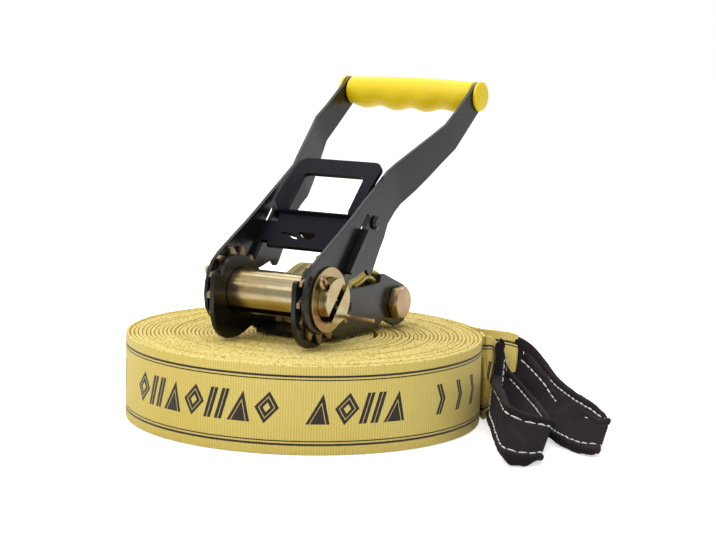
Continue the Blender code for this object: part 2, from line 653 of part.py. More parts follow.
def make_handle_plate(name, way, axis, steel):
    # The end washer and the gear cover the wide bore, in which the reel turns freely.
    holes = [circle(HANDLE_BORE_RADIUS, 32), slot_outline(),
             circle(GRIP_ROD_RADIUS + SEAT_GAP, 16, (GRIP_REACH, 0.0)),
             circle(RIVET_RADIUS + SEAT_GAP, 12, guide_point(CROSS_ROD_REACH, -CROSS_ROD_DROP))]
    low, high = sorted((way * HANDLE_INNER, way * HANDLE_OUTER))
    mesh_data = plate_mesh(handle_outline(), low, high, holes)
    for bend in (FLARE_START, FLARE_END):
        geometry = list(mesh_data.verts) + list(mesh_data.edges) + list(mesh_data.faces)
        bmesh.ops.bisect_plane(mesh_data, geom=geometry, plane_co=(0.0, bend, 0.0),
                               plane_no=(0.0, 1.0, 0.0))
    for vert in mesh_data.verts:
        vert.co.x += way * flare_at(vert.co.y)
    return finish_mesh(name, mesh_data, axis, steel, 12.0)


def make_grip(axis, rubber, steel):
    half = HANDLE_INNER + HANDLE_FLARE - SEAT_GAP
    bore = GRIP_ROD_RADIUS + SEAT_GAP
    steps, slices = 20, 28
    rings = []
    for index in range(slices + 1):
        share = index / slices
        place = -half + 2 * half * share
        swell = GRIP_BULGE * math.sin(math.pi * share)
        dip = GRIP_WAVE * (1 - math.cos(2 * math.pi * GRIP_WAVES * share)) / 2
        ring = []
        for step in range(steps):
            angle = 2 * math.pi * step / steps
            under = max(-math.sin(angle), 0.0)
            radius = GRIP_RADIUS + swell + dip * under
            ring.append((place, GRIP_REACH + radius * math.cos(angle),
                         radius * math.sin(angle)))
        rings.append(ring)
    for place in (half, -half):
        rings.append([(place, a, b) for a, b in circle(bore, steps, (GRIP_REACH, 0.0))])
    ring_solid("grip", rings, axis, rubber, closed_loop=True)
    rod_reach = half + SEAT_GAP + HANDLE_PLATE
    turned("grip_rod", [(-rod_reach, GRIP_ROD_RADIUS), (rod_reach, GRIP_ROD_RADIUS)], 16, axis,
           steel, (GRIP_REACH, 0.0))
    for side, way in (("left", -1), ("right", 1)):
        start = rod_reach + SEAT_GAP
        crown = [(way * start, GRIP_CAP_RADIUS), (way * (start + GRIP_CAP_HEIGHT / 2), GRIP_CAP_RADIUS),
                 (way * (start + GRIP_CAP_HEIGHT * 7 / 8), GRIP_CAP_RADIUS * 5 / 6),
                 (way * (start + GRIP_CAP_HEIGHT), GRIP_CAP_RADIUS * 3 / 5)]
        turned(side + "_grip_cap", crown, 24, axis, rubber, (GRIP_REACH, 0.0))


def make_cross_rod(axis, steel):
    # A riveted rod that ties the plates and stops the pawl's spring.
    head = HANDLE_OUTER + SEAT_GAP
    right = [(HANDLE_INNER - SEAT_GAP, CROSS_ROD_RADIUS), (HANDLE_INNER - SEAT_GAP, RIVET_RADIUS),
             (head, RIVET_RADIUS), (head, RIVET_HEAD_RADIUS),
             (head + RIVET_HEAD_HEIGHT / 2, RIVET_HEAD_RADIUS),
             (head + RIVET_HEAD_HEIGHT, RIVET_HEAD_RADIUS * 2 / 3)]
    profile = [(-x, radius) for x, radius in right[::-1]] + right
    turned("cross_rod", profile, 20, axis, steel, guide_point(CROSS_ROD_REACH, -CROSS_ROD_DROP))


def make_handle(steel, rubber):
    axis = make_empty("handle_axis", AXLE, HANDLE_ANGLE_DEG)
    make_handle_plate("handle_left_plate", -1, axis, steel)
    make_handle_plate("handle_right_plate", 1, axis, steel)
    make_grip(axis, rubber, steel)
    make_cross_rod(axis, steel)
    return axis


# Drive pawl

def face_on(mesh_data):
    # Turns a plate's outline from (along, across) at X to (X, along) with its depth upright.
    for vert in mesh_data.verts:
        vert.co = Vector((vert.co.y, vert.co.z, vert.co.x))


def pawl_side(way):
    # One side of the pawl seen square to its face, from its front edge to the bail's bar.
    neck = PAWL_FRONT + PAWL_PLATE
    leg = PAWL_BEND + PAWL_PLATE * 3
    edge = [(PAWL_HALF_WIDTH, PAWL_FRONT), (PAWL_HALF_WIDTH, neck), (GEAR_INNER, neck),
            (GEAR_INNER, PAWL_NOSE), (PAWL_NOSE_REACH, PAWL_NOSE),
            (PAWL_NOSE_REACH, PAWL_EAR_END), (PAWL_HALF_WIDTH, PAWL_EAR_END),
            (PAWL_HALF_WIDTH, PAWL_BEND),
            (BAIL_LEG_REACH, leg), (BAIL_LEG_REACH, leg + PAWL_PLATE * 2)]
    side = [(way * x, q) for x, q in edge]
    corner = (BAIL_HALF_WIDTH - BAIL_CORNER, BAIL_REACH - BAIL_CORNER)
    return side + [(BAIL_OFFSET + way * x, q) for x, q in arc(BAIL_CORNER, 0.0, 90.0, 5, corner)]


def pawl_window():
    # The finger window, with rounded upper corners.
    corner = (BAIL_WINDOW_HALF_WIDTH - BAIL_CORNER / 2, BAIL_WINDOW_TOP - BAIL_CORNER / 2)
    right = [(BAIL_WINDOW_HALF_WIDTH, PAWL_BEND + PAWL_PLATE)]
    right += arc(BAIL_CORNER / 2, 0.0, 90.0, 3, corner)
    left = [(-x, q) for x, q in right[::-1]]
    return [(BAIL_OFFSET + x, q) for x, q in right + left]


def pawl_cuts():
    # The D-shaped hole where the spring's tab was pushed down, and the hooked slit beside it.
    size = PAWL_TAB_HALF_WIDTH
    tab_hole = [(-1.12, 0.00), (0.98, 0.00), (1.04, -0.35), (0.95, -0.65), (0.42, -0.90),
                (-0.28, -0.68), (-0.80, -0.30)]
    slit = [(-3.13, -0.18), (-2.20, -0.28), (-1.42, -0.46), (-1.16, -0.72), (-0.60, -0.80),
            (-0.85, -0.95), (-1.45, -0.90), (-1.85, -0.66), (-2.40, -0.50), (-3.13, -0.44)]
    return [[(x * size, PAWL_TAB_PLACE + q * size) for x, q in hole] for hole in (tab_hole, slit)]


def make_pawl_ear(name, way, guide, steel):
    # The bar that carries the pawl in its slot of one handle plate.
    half = PAWL_PLATE / 2
    outline = [(PAWL_EAR_START, -half), (PAWL_EAR_END, -half), (PAWL_EAR_END, half),
               (PAWL_EAR_START, half)]
    low, high = sorted((way * (PAWL_NOSE_REACH + SEAT_GAP), way * PAWL_EAR_REACH))
    plate(name, outline, low, high, guide, steel)


def make_drive_pawl(handle_axis, steel, zinc):
    # A pressing bent along its side line, trimmed to its outline, with a tab for the spring.
    guide = make_empty("drive_pawl_guide", (0.0, *GUIDE_FOOT), GUIDE_ANGLE_DEG)
    guide.parent = handle_axis
    side_line = scaled(PAWL_SIDE_SHARES, BAIL_REACH)
    side_line[0] = (PAWL_NOSE - CUT_OVERRUN, 0.0)
    reach = PAWL_NOSE_REACH + CUT_OVERRUN
    pawl = plate("drive_pawl", band_outline(side_line, PAWL_PLATE), -reach, reach, guide, steel)
    outline = pawl_side(1) + pawl_side(-1)[::-1]
    trim = plate_mesh(outline, -PAWL_TAB_DEPTH, PAWL_TAB_DEPTH, [pawl_window(), *pawl_cuts()])
    face_on(trim)
    cut(pawl, finish_mesh("pawl_trim_cutter", trim, guide, steel), "INTERSECT")
    tab = [(PAWL_TAB_PLACE, -PAWL_TAB_DEPTH), (PAWL_TAB_PLACE + PAWL_PLATE, -PAWL_TAB_DEPTH),
           (PAWL_TAB_PLACE + PAWL_PLATE, 0.0), (PAWL_TAB_PLACE, 0.0)]
    cut(pawl, plate("pawl_tab_cutter", tab, -PAWL_TAB_HALF_WIDTH, PAWL_TAB_HALF_WIDTH, guide,
                    steel), "UNION")
    make_pawl_ear("left_pawl_ear", -1, guide, steel)
    make_pawl_ear("right_pawl_ear", 1, guide, steel)
    margin = SPRING_WIRE / 2 + SEAT_GAP
    start = PAWL_TAB_PLACE + PAWL_PLATE + margin
    stop = CROSS_ROD_REACH - CROSS_ROD_RADIUS - margin
    route = helix(start, stop, PAWL_SPRING_RADIUS, PAWL_SPRING_CURLS)
    tube("drive_pawl_spring", [(a, q, b - PAWL_SPRING_DEPTH) for q, a, b in route],
         SPRING_WIRE / 2, 6, guide, zinc)


def helix(start, stop, radius, curls, points_per_curl=8):
    points = []
    count = curls * points_per_curl
    for index in range(count + 1):
        angle = 2 * math.pi * index / points_per_curl
        points.append((start + (stop - start) * index / count, radius * math.cos(angle),
                       radius * math.sin(angle)))
    return points


# Lock pawl

def make_lock_pawl(place, steel):
    # A plate across the frame, with a toothed ear through each frame plate.
    reach = GEAR_OUTER - SEAT_GAP / 2
    neck = FRAME_INNER - LOCK_RECESS / 2
    notch = LOCK_NOSE + LOCK_RECESS
    outline = [(reach, LOCK_NOSE), (reach, LOCK_BACK), (-reach, LOCK_BACK), (-reach, LOCK_NOSE),
               (-neck, LOCK_NOSE), (-neck, notch), (neck, notch), (neck, LOCK_NOSE)]
    mesh_data = plate_mesh(outline, -LOCK_HEIGHT - LOCK_THICKNESS / 2,
                           -LOCK_HEIGHT + LOCK_THICKNESS / 2)
    face_on(mesh_data)
    finish_mesh("lock_pawl", mesh_data, place, steel, 35.0)


def main():
    clear_scene()
    webbing = make_material("yellow_webbing", (0.80, 0.62, 0.10), 0.8, 0.0)
    sleeve = make_material("black_sleeve", (0.03, 0.025, 0.027), 0.9, 0.0)
    steel = make_material("black_steel", (0.03, 0.03, 0.032), 0.45, 0.6)
    zinc = make_material("gold_zinc", (0.62, 0.48, 0.24), 0.3, 1.0)
    rubber = make_material("yellow_grip", (0.90, 0.68, 0.02), 0.5, 0.0)
    make_line(webbing)
    make_core(webbing)
    make_strap_tail(webbing)
    make_sleeve("line_eye_sleeve", LINE_EYE_SHARES, sleeve)
    make_sleeve("strap_eye_sleeve", STRAP_EYE_SHARES, sleeve)
    place = make_frame(steel)
    make_rear_bolt(place, zinc)
    make_ratchet_strap(place, webbing)
    make_reel(zinc)
    handle_axis = make_handle(steel, rubber)
    make_drive_pawl(handle_axis, steel, zinc)
    make_lock_pawl(place, steel)


main()
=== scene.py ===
# %% [markdown]
# # A slackline set, put away as a roll
#
# The packed model is loaded as a fixed frame. Its steel and zinc pieces keep their shape and
# get better materials and softened edges. The webbing, the sleeves and the grip are made anew
# here, in the same places, with the detail that cloth and moulded plastic need.

# %% Load the frame
import json
import math
import random
from collections import namedtuple

import bmesh
import bpy
from mathutils import Matrix, Vector, noise


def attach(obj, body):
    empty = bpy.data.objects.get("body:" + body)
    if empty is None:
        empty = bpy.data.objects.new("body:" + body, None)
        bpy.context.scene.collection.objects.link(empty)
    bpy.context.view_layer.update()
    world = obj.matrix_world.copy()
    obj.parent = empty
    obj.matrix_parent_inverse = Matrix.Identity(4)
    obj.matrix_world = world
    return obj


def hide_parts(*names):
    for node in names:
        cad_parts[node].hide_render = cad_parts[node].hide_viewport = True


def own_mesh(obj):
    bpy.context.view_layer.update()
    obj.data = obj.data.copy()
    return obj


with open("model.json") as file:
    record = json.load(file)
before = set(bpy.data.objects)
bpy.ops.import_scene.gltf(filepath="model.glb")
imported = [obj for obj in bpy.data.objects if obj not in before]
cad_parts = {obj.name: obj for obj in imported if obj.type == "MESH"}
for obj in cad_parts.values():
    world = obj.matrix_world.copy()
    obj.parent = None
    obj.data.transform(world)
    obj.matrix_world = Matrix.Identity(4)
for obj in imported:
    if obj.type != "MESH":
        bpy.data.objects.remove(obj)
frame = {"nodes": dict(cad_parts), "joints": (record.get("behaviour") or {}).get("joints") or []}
nodes = frame["nodes"]
joints = {joint["name"]: joint for joint in frame["joints"]}
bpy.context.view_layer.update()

# %% [markdown]
# The camera comes first. It could be placed by eye, but a camera that was fitted to the
# photograph puts the axle, the bolt, the roll's edge and both ends of the grip where the
# photograph has them, so the two pictures can be laid over each other.

# %% Camera
# The cosine and sine of the turn between the camera's ground frame and the object's.
TURN = (0.8545, -0.5195)
FOCAL_PIXELS, PHOTO_WIDTH, FILM_WIDTH_MM = 1875.0, 716.0, 36.0
PAN, TILT, ROLL = math.radians(1.57), math.radians(7.98), math.radians(1.49)
CAMERA_DISTANCE, CAMERA_HEIGHT = 1.1, 0.242


def from_view(x, y, z):
    """A place or direction of the camera's ground frame, given in the object's frame."""
    return Vector((TURN[0] * x + TURN[1] * y, -TURN[1] * x + TURN[0] * y, z))


def add_object(name, data):
    """A new object in the scene that shows a mesh, a light or a camera."""
    thing = bpy.data.objects.new(name, data)
    bpy.context.scene.collection.objects.link(thing)
    return thing


def make_camera():
    level = math.cos(TILT)
    ahead = from_view(math.sin(PAN) * level, math.cos(PAN) * level, -math.sin(TILT))
    right = from_view(math.cos(PAN), -math.sin(PAN), 0.0)
    up = right.cross(ahead)
    side = right * math.cos(ROLL) + up * math.sin(ROLL)
    top = up * math.cos(ROLL) - right * math.sin(ROLL)
    camera = add_object("camera", bpy.data.cameras.new("camera"))
    place = Matrix((side, top, -ahead)).transposed().to_4x4()
    place.translation = from_view(0.0, -CAMERA_DISTANCE, CAMERA_HEIGHT)
    camera.matrix_world = place
    camera.data.lens = FILM_WIDTH_MM * FOCAL_PIXELS / PHOTO_WIDTH
    bpy.context.scene.camera = camera
    return camera


camera = make_camera()
print("camera at", [round(v, 3) for v in camera.location], "lens", round(camera.data.lens, 1))

# %% [markdown]
# A finish is a tree of nodes, which could be wired by hand in the shader editor. Here it is
# written as Python sums, which are easier to read and to change. A `Field` wraps one socket,
# and each operator adds the Math node that does it, with its reflected form so that
# `1 - mask` works. Every other node comes from `add_node`.

# %% Nodes and their sockets
def feed(tree, socket, value):
    """Puts a link, a colour or a plain value into a socket."""
    if isinstance(value, Field):
        value = value.socket
    if isinstance(value, bpy.types.NodeSocket):
        tree.links.new(value, socket)
    elif socket.type == "RGBA":
        socket.default_value = (*value, 1.0)
    else:
        socket.default_value = value


def add_node(tree, kind, settings, sockets):
    """A node of a kind: its settings come first, then its sockets' values or links."""
    node = tree.nodes.new(kind)
    for name, value in settings.items():
        setattr(node, name, value)
    for name, value in sockets.items():
        feed(tree, node.inputs[name], value)
    return node


print("nodes are made by", add_node.__name__)

# %% Shader maths as expressions
def both_ways(operation):
    """An operator's own method and its reflected one."""
    def own(field, other):
        return field.shader.math(operation, field, other)

    def reflected(field, other):
        return field.shader.math(operation, other, field)
    return own, reflected


def one_way(operation):
    def method(field, *others):
        return field.shader.math(operation, field, *others)
    return method


class Field:
    """One socket of a shader, which can stand in a sum."""
    __add__, __radd__ = both_ways("ADD")
    __sub__, __rsub__ = both_ways("SUBTRACT")
    __mul__, __rmul__ = both_ways("MULTIPLY")
    __truediv__, __rtruediv__ = both_ways("DIVIDE")
    __mod__, __rmod__ = both_ways("FLOORED_MODULO")
    __lt__, __gt__ = one_way("LESS_THAN"), one_way("GREATER_THAN")
    __abs__, floor, sine = one_way("ABSOLUTE"), one_way("FLOOR"), one_way("SINE")
    most = one_way("MAXIMUM")

    def __init__(self, shader, socket):
        self.shader, self.socket = shader, socket

    def clamped(self):
        return self.shader.math("ADD", self, 0.0, clamp=True)

    def ramp(self, low, high):
        """0 at low, 1 at high, smooth between."""
        return self.shader.field("ShaderNodeMapRange", {"interpolation_type": "SMOOTHSTEP"},
                                 {"Value": self, "From Min": low, "From Max": high})


print("a field knows", sum(callable(value) for value in vars(Field).values()), "operations")

# %% [markdown]
# `Shader` holds the node tree of a material or of the world, and has a short method for each
# kind of node that the finishes share: noise, mixing two colours, the piece's layout and bump.

# %% A shader and the nodes that finishes share
# A Mix node has sockets of the same name for each type of data. These are its colours'.
MIX_FIRST, MIX_SECOND, MIX_RESULT = 6, 7, 2


class Shader:
    """The node tree of a material or a world, and the surface node that it feeds."""

    def __init__(self, owner, surface="Principled BSDF"):
        owner.use_nodes = True
        self.owner, self.tree = owner, owner.node_tree
        self.surface = self.tree.nodes[surface]

    def field(self, kind, settings, sockets, output=0):
        return Field(self, add_node(self.tree, kind, settings, sockets).outputs[output])

    def math(self, operation, *values, clamp=False):
        settings = {"operation": operation, "use_clamp": clamp}
        return self.field("ShaderNodeMath", settings, dict(enumerate(values)))

    def mix(self, factor, first, second):
        sockets = {"Factor": factor, MIX_FIRST: first, MIX_SECOND: second}
        return self.field("ShaderNodeMix", {"data_type": "RGBA"}, sockets, MIX_RESULT)

    def noise(self, scale, detail, stretch=None, roughness=0.5):
        """Soft noise over the piece, drawn out by three scales where a stretch is given."""
        where = self.field("ShaderNodeTexCoord", {}, {}, "Object")
        if stretch:
            where = self.field("ShaderNodeMapping", {}, {"Vector": where, "Scale": stretch})
        sockets = {"Vector": where, "Scale": scale, "Detail": detail, "Roughness": roughness}
        return self.field("ShaderNodeTexNoise", {}, sockets, "Fac")

    def uv(self):
        """(along, across) in metres, from the piece's own layout."""
        layout = self.field("ShaderNodeUVMap", {"uv_map": "layout"}, {})
        split = add_node(self.tree, "ShaderNodeSeparateXYZ", {}, {"Vector": layout})
        return Field(self, split.outputs["X"]), Field(self, split.outputs["Y"])

    def rays(self):
        """1 on rays from the camera, and 1 on rays from a glossy face."""
        outputs = add_node(self.tree, "ShaderNodeLightPath", {}, {}).outputs
        return Field(self, outputs["Is Camera Ray"]), Field(self, outputs["Is Glossy Ray"])

    def bump(self, height, strength, distance):
        sockets = {"Height": height, "Strength": strength, "Distance": distance}
        self.set(Normal=self.field("ShaderNodeBump", {}, sockets))

    def set(self, **sockets):
        """The surface's own values or links, with _ for a space in a socket's name."""
        for name, value in sockets.items():
            feed(self.tree, self.surface.inputs[name.replace("_", " ")], value)
        return self.owner


print("a shader can", [name for name in vars(Shader) if not name.startswith("_")])

# %% [markdown]
# Webbing is woven flat, with fine ribs across it, a pair of black lines near each edge and a
# row of printed marks on its outer side. The print could be a picture, but formulas stay
# sharp at any size and need no file. The marks are plain geometric shapes: diamonds, slanted
# bars and triangles, each with a fine line left bare inside, and three chevrons after them.

# %% The print on the webbing
WIDTH, THICK = 0.050, 0.0019
MARK_START, MARK_PERIOD, MARK_PITCH = 0.336, 0.270, 0.0146
MARK_COUNT, SKIPPED_MARK = 12, 7.0
MARK_HALF_HEIGHT, MARK_MIDDLE, MARK_SLANT, BARE_LINE = 0.0086, 0.0261, 0.18, 0.0002
DIAMOND_HALF_WIDTH, DIAMOND_HOLE, DIAMOND_RING, DIAMOND_RING_HALF = 0.0068, 0.30, 0.66, 0.035
BAR_PLACE, BAR_HALF_WIDTH, BAR_SLANT = 0.0034, 0.0022, 0.12
TRIANGLE_HALF_WIDTH, TRIANGLE_LINE = 0.0066, 0.0021
CHEVRON_START, CHEVRON_STEP, CHEVRON_WIDTH, CHEVRON_SLOPE = 0.2000, 0.0180, 0.0042, 0.42
CHEVRON_COUNT = 2.6


def mark_shapes(x, up, index, tall):
    """1 on the ink of a diamond, a pair of bars or a triangle, as they take turns."""
    spread = abs(x) / DIAMOND_HALF_WIDTH + abs(up) / (MARK_HALF_HEIGHT * 1.05)
    ring = abs(spread - DIAMOND_RING) > DIAMOND_RING_HALF
    diamond = (spread < 1.0) * (spread > DIAMOND_HOLE) * ring
    bar_place = abs(abs(x - up * BAR_SLANT) - BAR_PLACE)
    bars = (bar_place < BAR_HALF_WIDTH) * tall * (bar_place > BARE_LINE)
    slope = TRIANGLE_HALF_WIDTH * (MARK_HALF_HEIGHT - up) / (2 * MARK_HALF_HEIGHT) - abs(x)
    triangle = (slope > 0.0) * tall * (abs(slope - TRIANGLE_LINE) > BARE_LINE)
    kind = index % 3.0
    return (kind < 0.5) * diamond + (abs(kind - 1.0) < 0.5) * bars + (kind > 1.5) * triangle


def chevrons(run, up, tall):
    """1 on the ink of the chevrons that close the row."""
    late = run - CHEVRON_START + abs(up) * CHEVRON_SLOPE
    place = late % CHEVRON_STEP
    ink = (place < CHEVRON_WIDTH) * (abs(place - CHEVRON_WIDTH / 2) > BARE_LINE) * tall
    return ink * ((late > 0.0) * (late < CHEVRON_STEP * CHEVRON_COUNT))


def printed_marks(along, across):
    """1 on ink, over the whole row of marks and its chevrons."""
    run = (along - MARK_START) % MARK_PERIOD
    up = across - MARK_MIDDLE
    slanted = run - up * MARK_SLANT
    index = (slanted / MARK_PITCH).floor()
    x = (slanted % MARK_PITCH) - MARK_PITCH / 2
    tall = abs(up) < MARK_HALF_HEIGHT
    in_row = (index > -0.5) * (index < MARK_COUNT - 0.5) * (abs(index - SKIPPED_MARK) > 0.5)
    return (mark_shapes(x, up, index, tall) * in_row + chevrons(run, up, tall)).clamped()


print("marks in the row:", MARK_COUNT - 1, "each", round(MARK_HALF_HEIGHT * 2000, 1), "mm high")

# %% [markdown]
# The cloth itself is a mix of two yellows. Its ribs, its threads and a fine grain shade it and
# raise a bump, which costs far less than modelled threads. At the roll's top only the band's
# edges show, so those get a grain with painted highlights on its raised speckles and painted
# shade in its pits, instead of ribs.

# %% Webbing material
PALE_YELLOW, DEEP_YELLOW = (0.88, 0.74, 0.27), (0.70, 0.52, 0.085)
# A painted highlight for the edge grain's raised speckles and a painted shade for its pits.
SPECKLE_HIGHLIGHT_YELLOW, PIT_SHADE_BROWN = (0.95, 0.86, 0.42), (0.36, 0.22, 0.02)
PRINT_BLACK = (0.028, 0.020, 0.018)
RIB_PITCH, THREAD_PITCH, WEAVE_DEPTH = 0.00155, 0.0011, 0.0003
# How far each black line lies in from the edge, and half its width.
EDGE_LINES = ((0.0060, 0.00062), (0.0079, 0.00034))


def edge_lines(across):
    """1 on the thick and the thin black line inside each edge."""
    from_edge = WIDTH / 2 - abs(across - WIDTH / 2)
    thick, thin = (abs(from_edge - inset) < half for inset, half in EDGE_LINES)
    return thick.most(thin)


def make_webbing(name, printed):
    shader = Shader(bpy.data.materials.new(name))
    along, across = shader.uv()
    face = shader.field("ShaderNodeAttribute", {"attribute_name": "outer_face"}, {}, "Fac")
    on_face = (face > 0.6).most(face < -0.6)
    ink = edge_lines(across)
    if printed:
        ink = ink.most(printed_marks(along, across) * (face > 0.6))
    ink = ink * on_face
    ribs = (along * (math.tau / RIB_PITCH)).sine()
    threads = (across * (math.tau / THREAD_PITCH)).sine()
    grain, clouds = shader.noise(1400.0, 3.0), shader.noise(11.0, 2.0)
    edge_grain = shader.noise(520.0, 2.0, roughness=0.7)
    shade = (clouds * 0.9 - 0.1 + (grain - 0.5) * 0.5 + ribs * 0.30 + threads * 0.06).clamped()
    cloth = shader.mix(shade, DEEP_YELLOW, PALE_YELLOW)
    on_edge = 1.0 - on_face
    # Painted highlights where the bump below raises the edge grain, and painted shade where it
    # sinks.
    cloth = shader.mix(on_edge * edge_grain.ramp(0.44, 0.64) * 0.55, cloth, SPECKLE_HIGHLIGHT_YELLOW)
    cloth = shader.mix(on_edge * edge_grain.ramp(0.46, 0.30) * 0.75, cloth, PIT_SHADE_BROWN)
    weave = (ribs * 0.7 + threads * 0.15) * on_face
    shader.bump(weave + grain * 0.4 + edge_grain * 1.6 * on_edge, 0.5, WEAVE_DEPTH)
    return shader.set(Base_Color=shader.mix(ink, cloth, PRINT_BLACK),
                      Roughness=0.72 - ink * 0.2, Sheen_Weight=0.12, Sheen_Roughness=0.4,
                      Specular_IOR_Level=0.3)


printed_webbing = make_webbing("printed_yellow_webbing", True)
plain_webbing = make_webbing("plain_yellow_webbing", False)
print("webbing materials:", printed_webbing.name, plain_webbing.name)

# %% [markdown]
# The sleeves are brushed black cloth with a slight brown cast, which a little sheen gives.
# Their stitches are a white cord of two twisted plies. The twist is a bump on a plain cord,
# since at this size modelled plies would not be seen.

# %% Sleeve and stitch materials
SLEEVE_BLACK, RUBBED_BLACK = (0.0085, 0.0062, 0.0070), (0.028, 0.0205, 0.0230)
SLEEVE_SHEEN, SLEEVE_WEAVE_PITCH, FUZZ_DEPTH = (0.55, 0.48, 0.50), 0.0009, 0.00025
THREAD_SHADE, THREAD_WHITE = (0.72, 0.70, 0.68), (0.95, 0.94, 0.92)
TWIST_ALONG, TWIST_ACROSS, TWIST_DEPTH = 5200.0, 3000.0, 0.0001


def make_sleeve_cloth():
    shader = Shader(bpy.data.materials.new("black_sleeve_cloth"))
    along, across = shader.uv()
    turns = math.tau / SLEEVE_WEAVE_PITCH
    weave = (along * turns).sine() * (across * turns).sine()
    fuzz = shader.noise(2600.0, 3.0)
    wear = shader.noise(45.0, 3.0).ramp(0.45, 0.75)
    tone = shader.mix((wear * 0.5 + fuzz * 0.35).clamped(), SLEEVE_BLACK, RUBBED_BLACK)
    shader.bump(weave * 0.5 + fuzz, 0.45, FUZZ_DEPTH)
    return shader.set(Base_Color=tone, Roughness=0.92, Sheen_Weight=0.06, Sheen_Roughness=0.5,
                      Sheen_Tint=SLEEVE_SHEEN, Specular_IOR_Level=0.15)


def make_thread():
    shader = Shader(bpy.data.materials.new("white_thread"))
    along, across = shader.uv()
    twist = (along * TWIST_ALONG + across * TWIST_ACROSS).sine()
    shader.bump(twist, 0.5, TWIST_DEPTH)
    tone = shader.mix(twist * 0.25 + 0.5, THREAD_SHADE, THREAD_WHITE)
    return shader.set(Base_Color=tone, Roughness=0.6)


sleeve_cloth, white_thread = make_sleeve_cloth(), make_thread()
print("sleeve materials:", sleeve_cloth.name, white_thread.name)

# %% [markdown]
# The pressed steel has a smooth, rather glossy black coat with faint handling marks. A dark
# base with some coat shows soft lights as the real one does, where a bare metal would mirror
# the room. The zinc is yellow passivated: gold, with pink and green patches. Noise that is
# stretched one way gives the marks that turning leaves along the reel.

# %% Metal and plastic materials
HANDLED_BLACK, PATINA_GREEN = (0.06, 0.06, 0.063), (0.46, 0.50, 0.26)
HANDLING_STRETCH, EVEN, TURNED = (900.0, 60.0, 60.0), (60.0, 60.0, 60.0), (4.0, 900.0, 900.0)
METAL_DEPTH, PLASTIC_DEPTH, PLASTIC_GLOW_REACH = 0.0002, 0.0003, (0.004, 0.0025, 0.0005)


def make_black_steel(name, tone, roughness, gloss, coat):
    shader = Shader(bpy.data.materials.new(name))
    smudge, scuffs = shader.noise(38.0, 4.0), shader.noise(1.0, 5.0, HANDLING_STRETCH)
    rough = roughness + (smudge - 0.5) * 0.16 + (scuffs - 0.5) * 0.08
    colour = shader.mix(scuffs.ramp(0.62, 0.80) * 0.3, tone, HANDLED_BLACK)
    shader.bump(shader.noise(700.0, 2.0), 0.06, METAL_DEPTH)
    return shader.set(Base_Color=colour, Roughness=rough, Metallic=0.0, Coat_Weight=coat,
                      Coat_Roughness=0.18, Specular_IOR_Level=gloss)


def make_zinc(name, gold, pink, roughness, stretch):
    shader = Shader(bpy.data.materials.new(name))
    patches = shader.noise(70.0, 3.0).ramp(0.38, 0.66)
    patina = shader.noise(190.0, 3.0).ramp(0.50, 0.75)
    lines = shader.noise(1.0, 4.0, stretch)
    colour = shader.mix(patina * 0.35, shader.mix(patches, gold, pink), PATINA_GREEN)
    rough = roughness + (lines - 0.5) * 0.14 + (patches - 0.5) * 0.06
    shader.bump(lines, 0.10, METAL_DEPTH)
    return shader.set(Base_Color=colour, Roughness=rough, Metallic=1.0)


def make_plastic(name, tone, light_tone):
    shader = Shader(bpy.data.materials.new(name))
    mottle, fine = shader.noise(60.0, 2.0), shader.noise(1800.0, 2.0)
    shader.bump(fine * 0.6 + mottle * 0.4, 0.12, PLASTIC_DEPTH)
    return shader.set(Base_Color=shader.mix(mottle, tone, light_tone),
                      Roughness=0.36 + mottle * 0.12, Specular_IOR_Level=0.45,
                      Subsurface_Weight=0.08, Subsurface_Radius=PLASTIC_GLOW_REACH)


black_steel = make_black_steel("glossy_black_steel", (0.0075, 0.0074, 0.0073), 0.27, 0.34, 0.10)
blue_steel = make_black_steel("blued_black_steel", (0.007, 0.0072, 0.0115), 0.38, 0.08, 0.0)
zinc = make_zinc("yellow_zinc", (0.42, 0.33, 0.145), (0.44, 0.27, 0.165), 0.32, EVEN)
reel_zinc = make_zinc("reel_zinc", (0.44, 0.37, 0.215), (0.42, 0.30, 0.135), 0.22, TURNED)
# The gears get a darker copy of the zinc: painted shade, for the shadow they lie in between the
# plates.
shaded_gear_zinc = make_zinc("shaded_gear_zinc", (0.25, 0.18, 0.09), (0.24, 0.14, 0.09), 0.34, EVEN)
grip_plastic = make_plastic("yellow_grip_plastic", (0.92, 0.67, 0.003), (0.97, 0.73, 0.006))
hard_materials = (black_steel, blue_steel, zinc, reel_zinc, shaded_gear_zinc, grip_plastic)
print("hard materials:", [material.name for material in hard_materials])

# %% [markdown]
# A band of webbing could be a curve with a bevel, or a plane with a Solidify modifier. Here a
# section is swept along stations, because that keeps the section upright where the band leans
# and lays a map in metres along and across it, so that ribs and print keep their size on
# every piece. Each station is the place of the band's lower edge and the way up across it.

# %% Routes of a band
UP = Vector((0.0, 0.0, 1.0))
Row = namedtuple("Row", "foot up_way out_way travelled")


def smooth_through(points, steps):
    """A smooth curve through points of any dimension."""
    knots = [Vector(point) for point in points]
    knots = [knots[0] * 2 - knots[1], *knots, knots[-1] * 2 - knots[-2]]
    curve = []
    for index in range(1, len(knots) - 2):
        before, start, stop, after = knots[index - 1:index + 3]
        for step in range(steps):
            t = step / steps
            curve.append((start * 2 + (stop - before) * t
                          + (before * 2 - start * 5 + stop * 4 - after) * t ** 2
                          + (start * 3 - before - stop * 3 + after) * t ** 3) / 2)
    curve.append(knots[-2])
    return curve


def lean_way(lean_deg, toward_deg):
    """The way up across a band that leans from upright, towards a side."""
    lean, toward = math.radians(lean_deg), math.radians(toward_deg)
    return Vector((math.sin(lean) * math.cos(toward), math.sin(lean) * math.sin(toward),
                   math.cos(lean)))


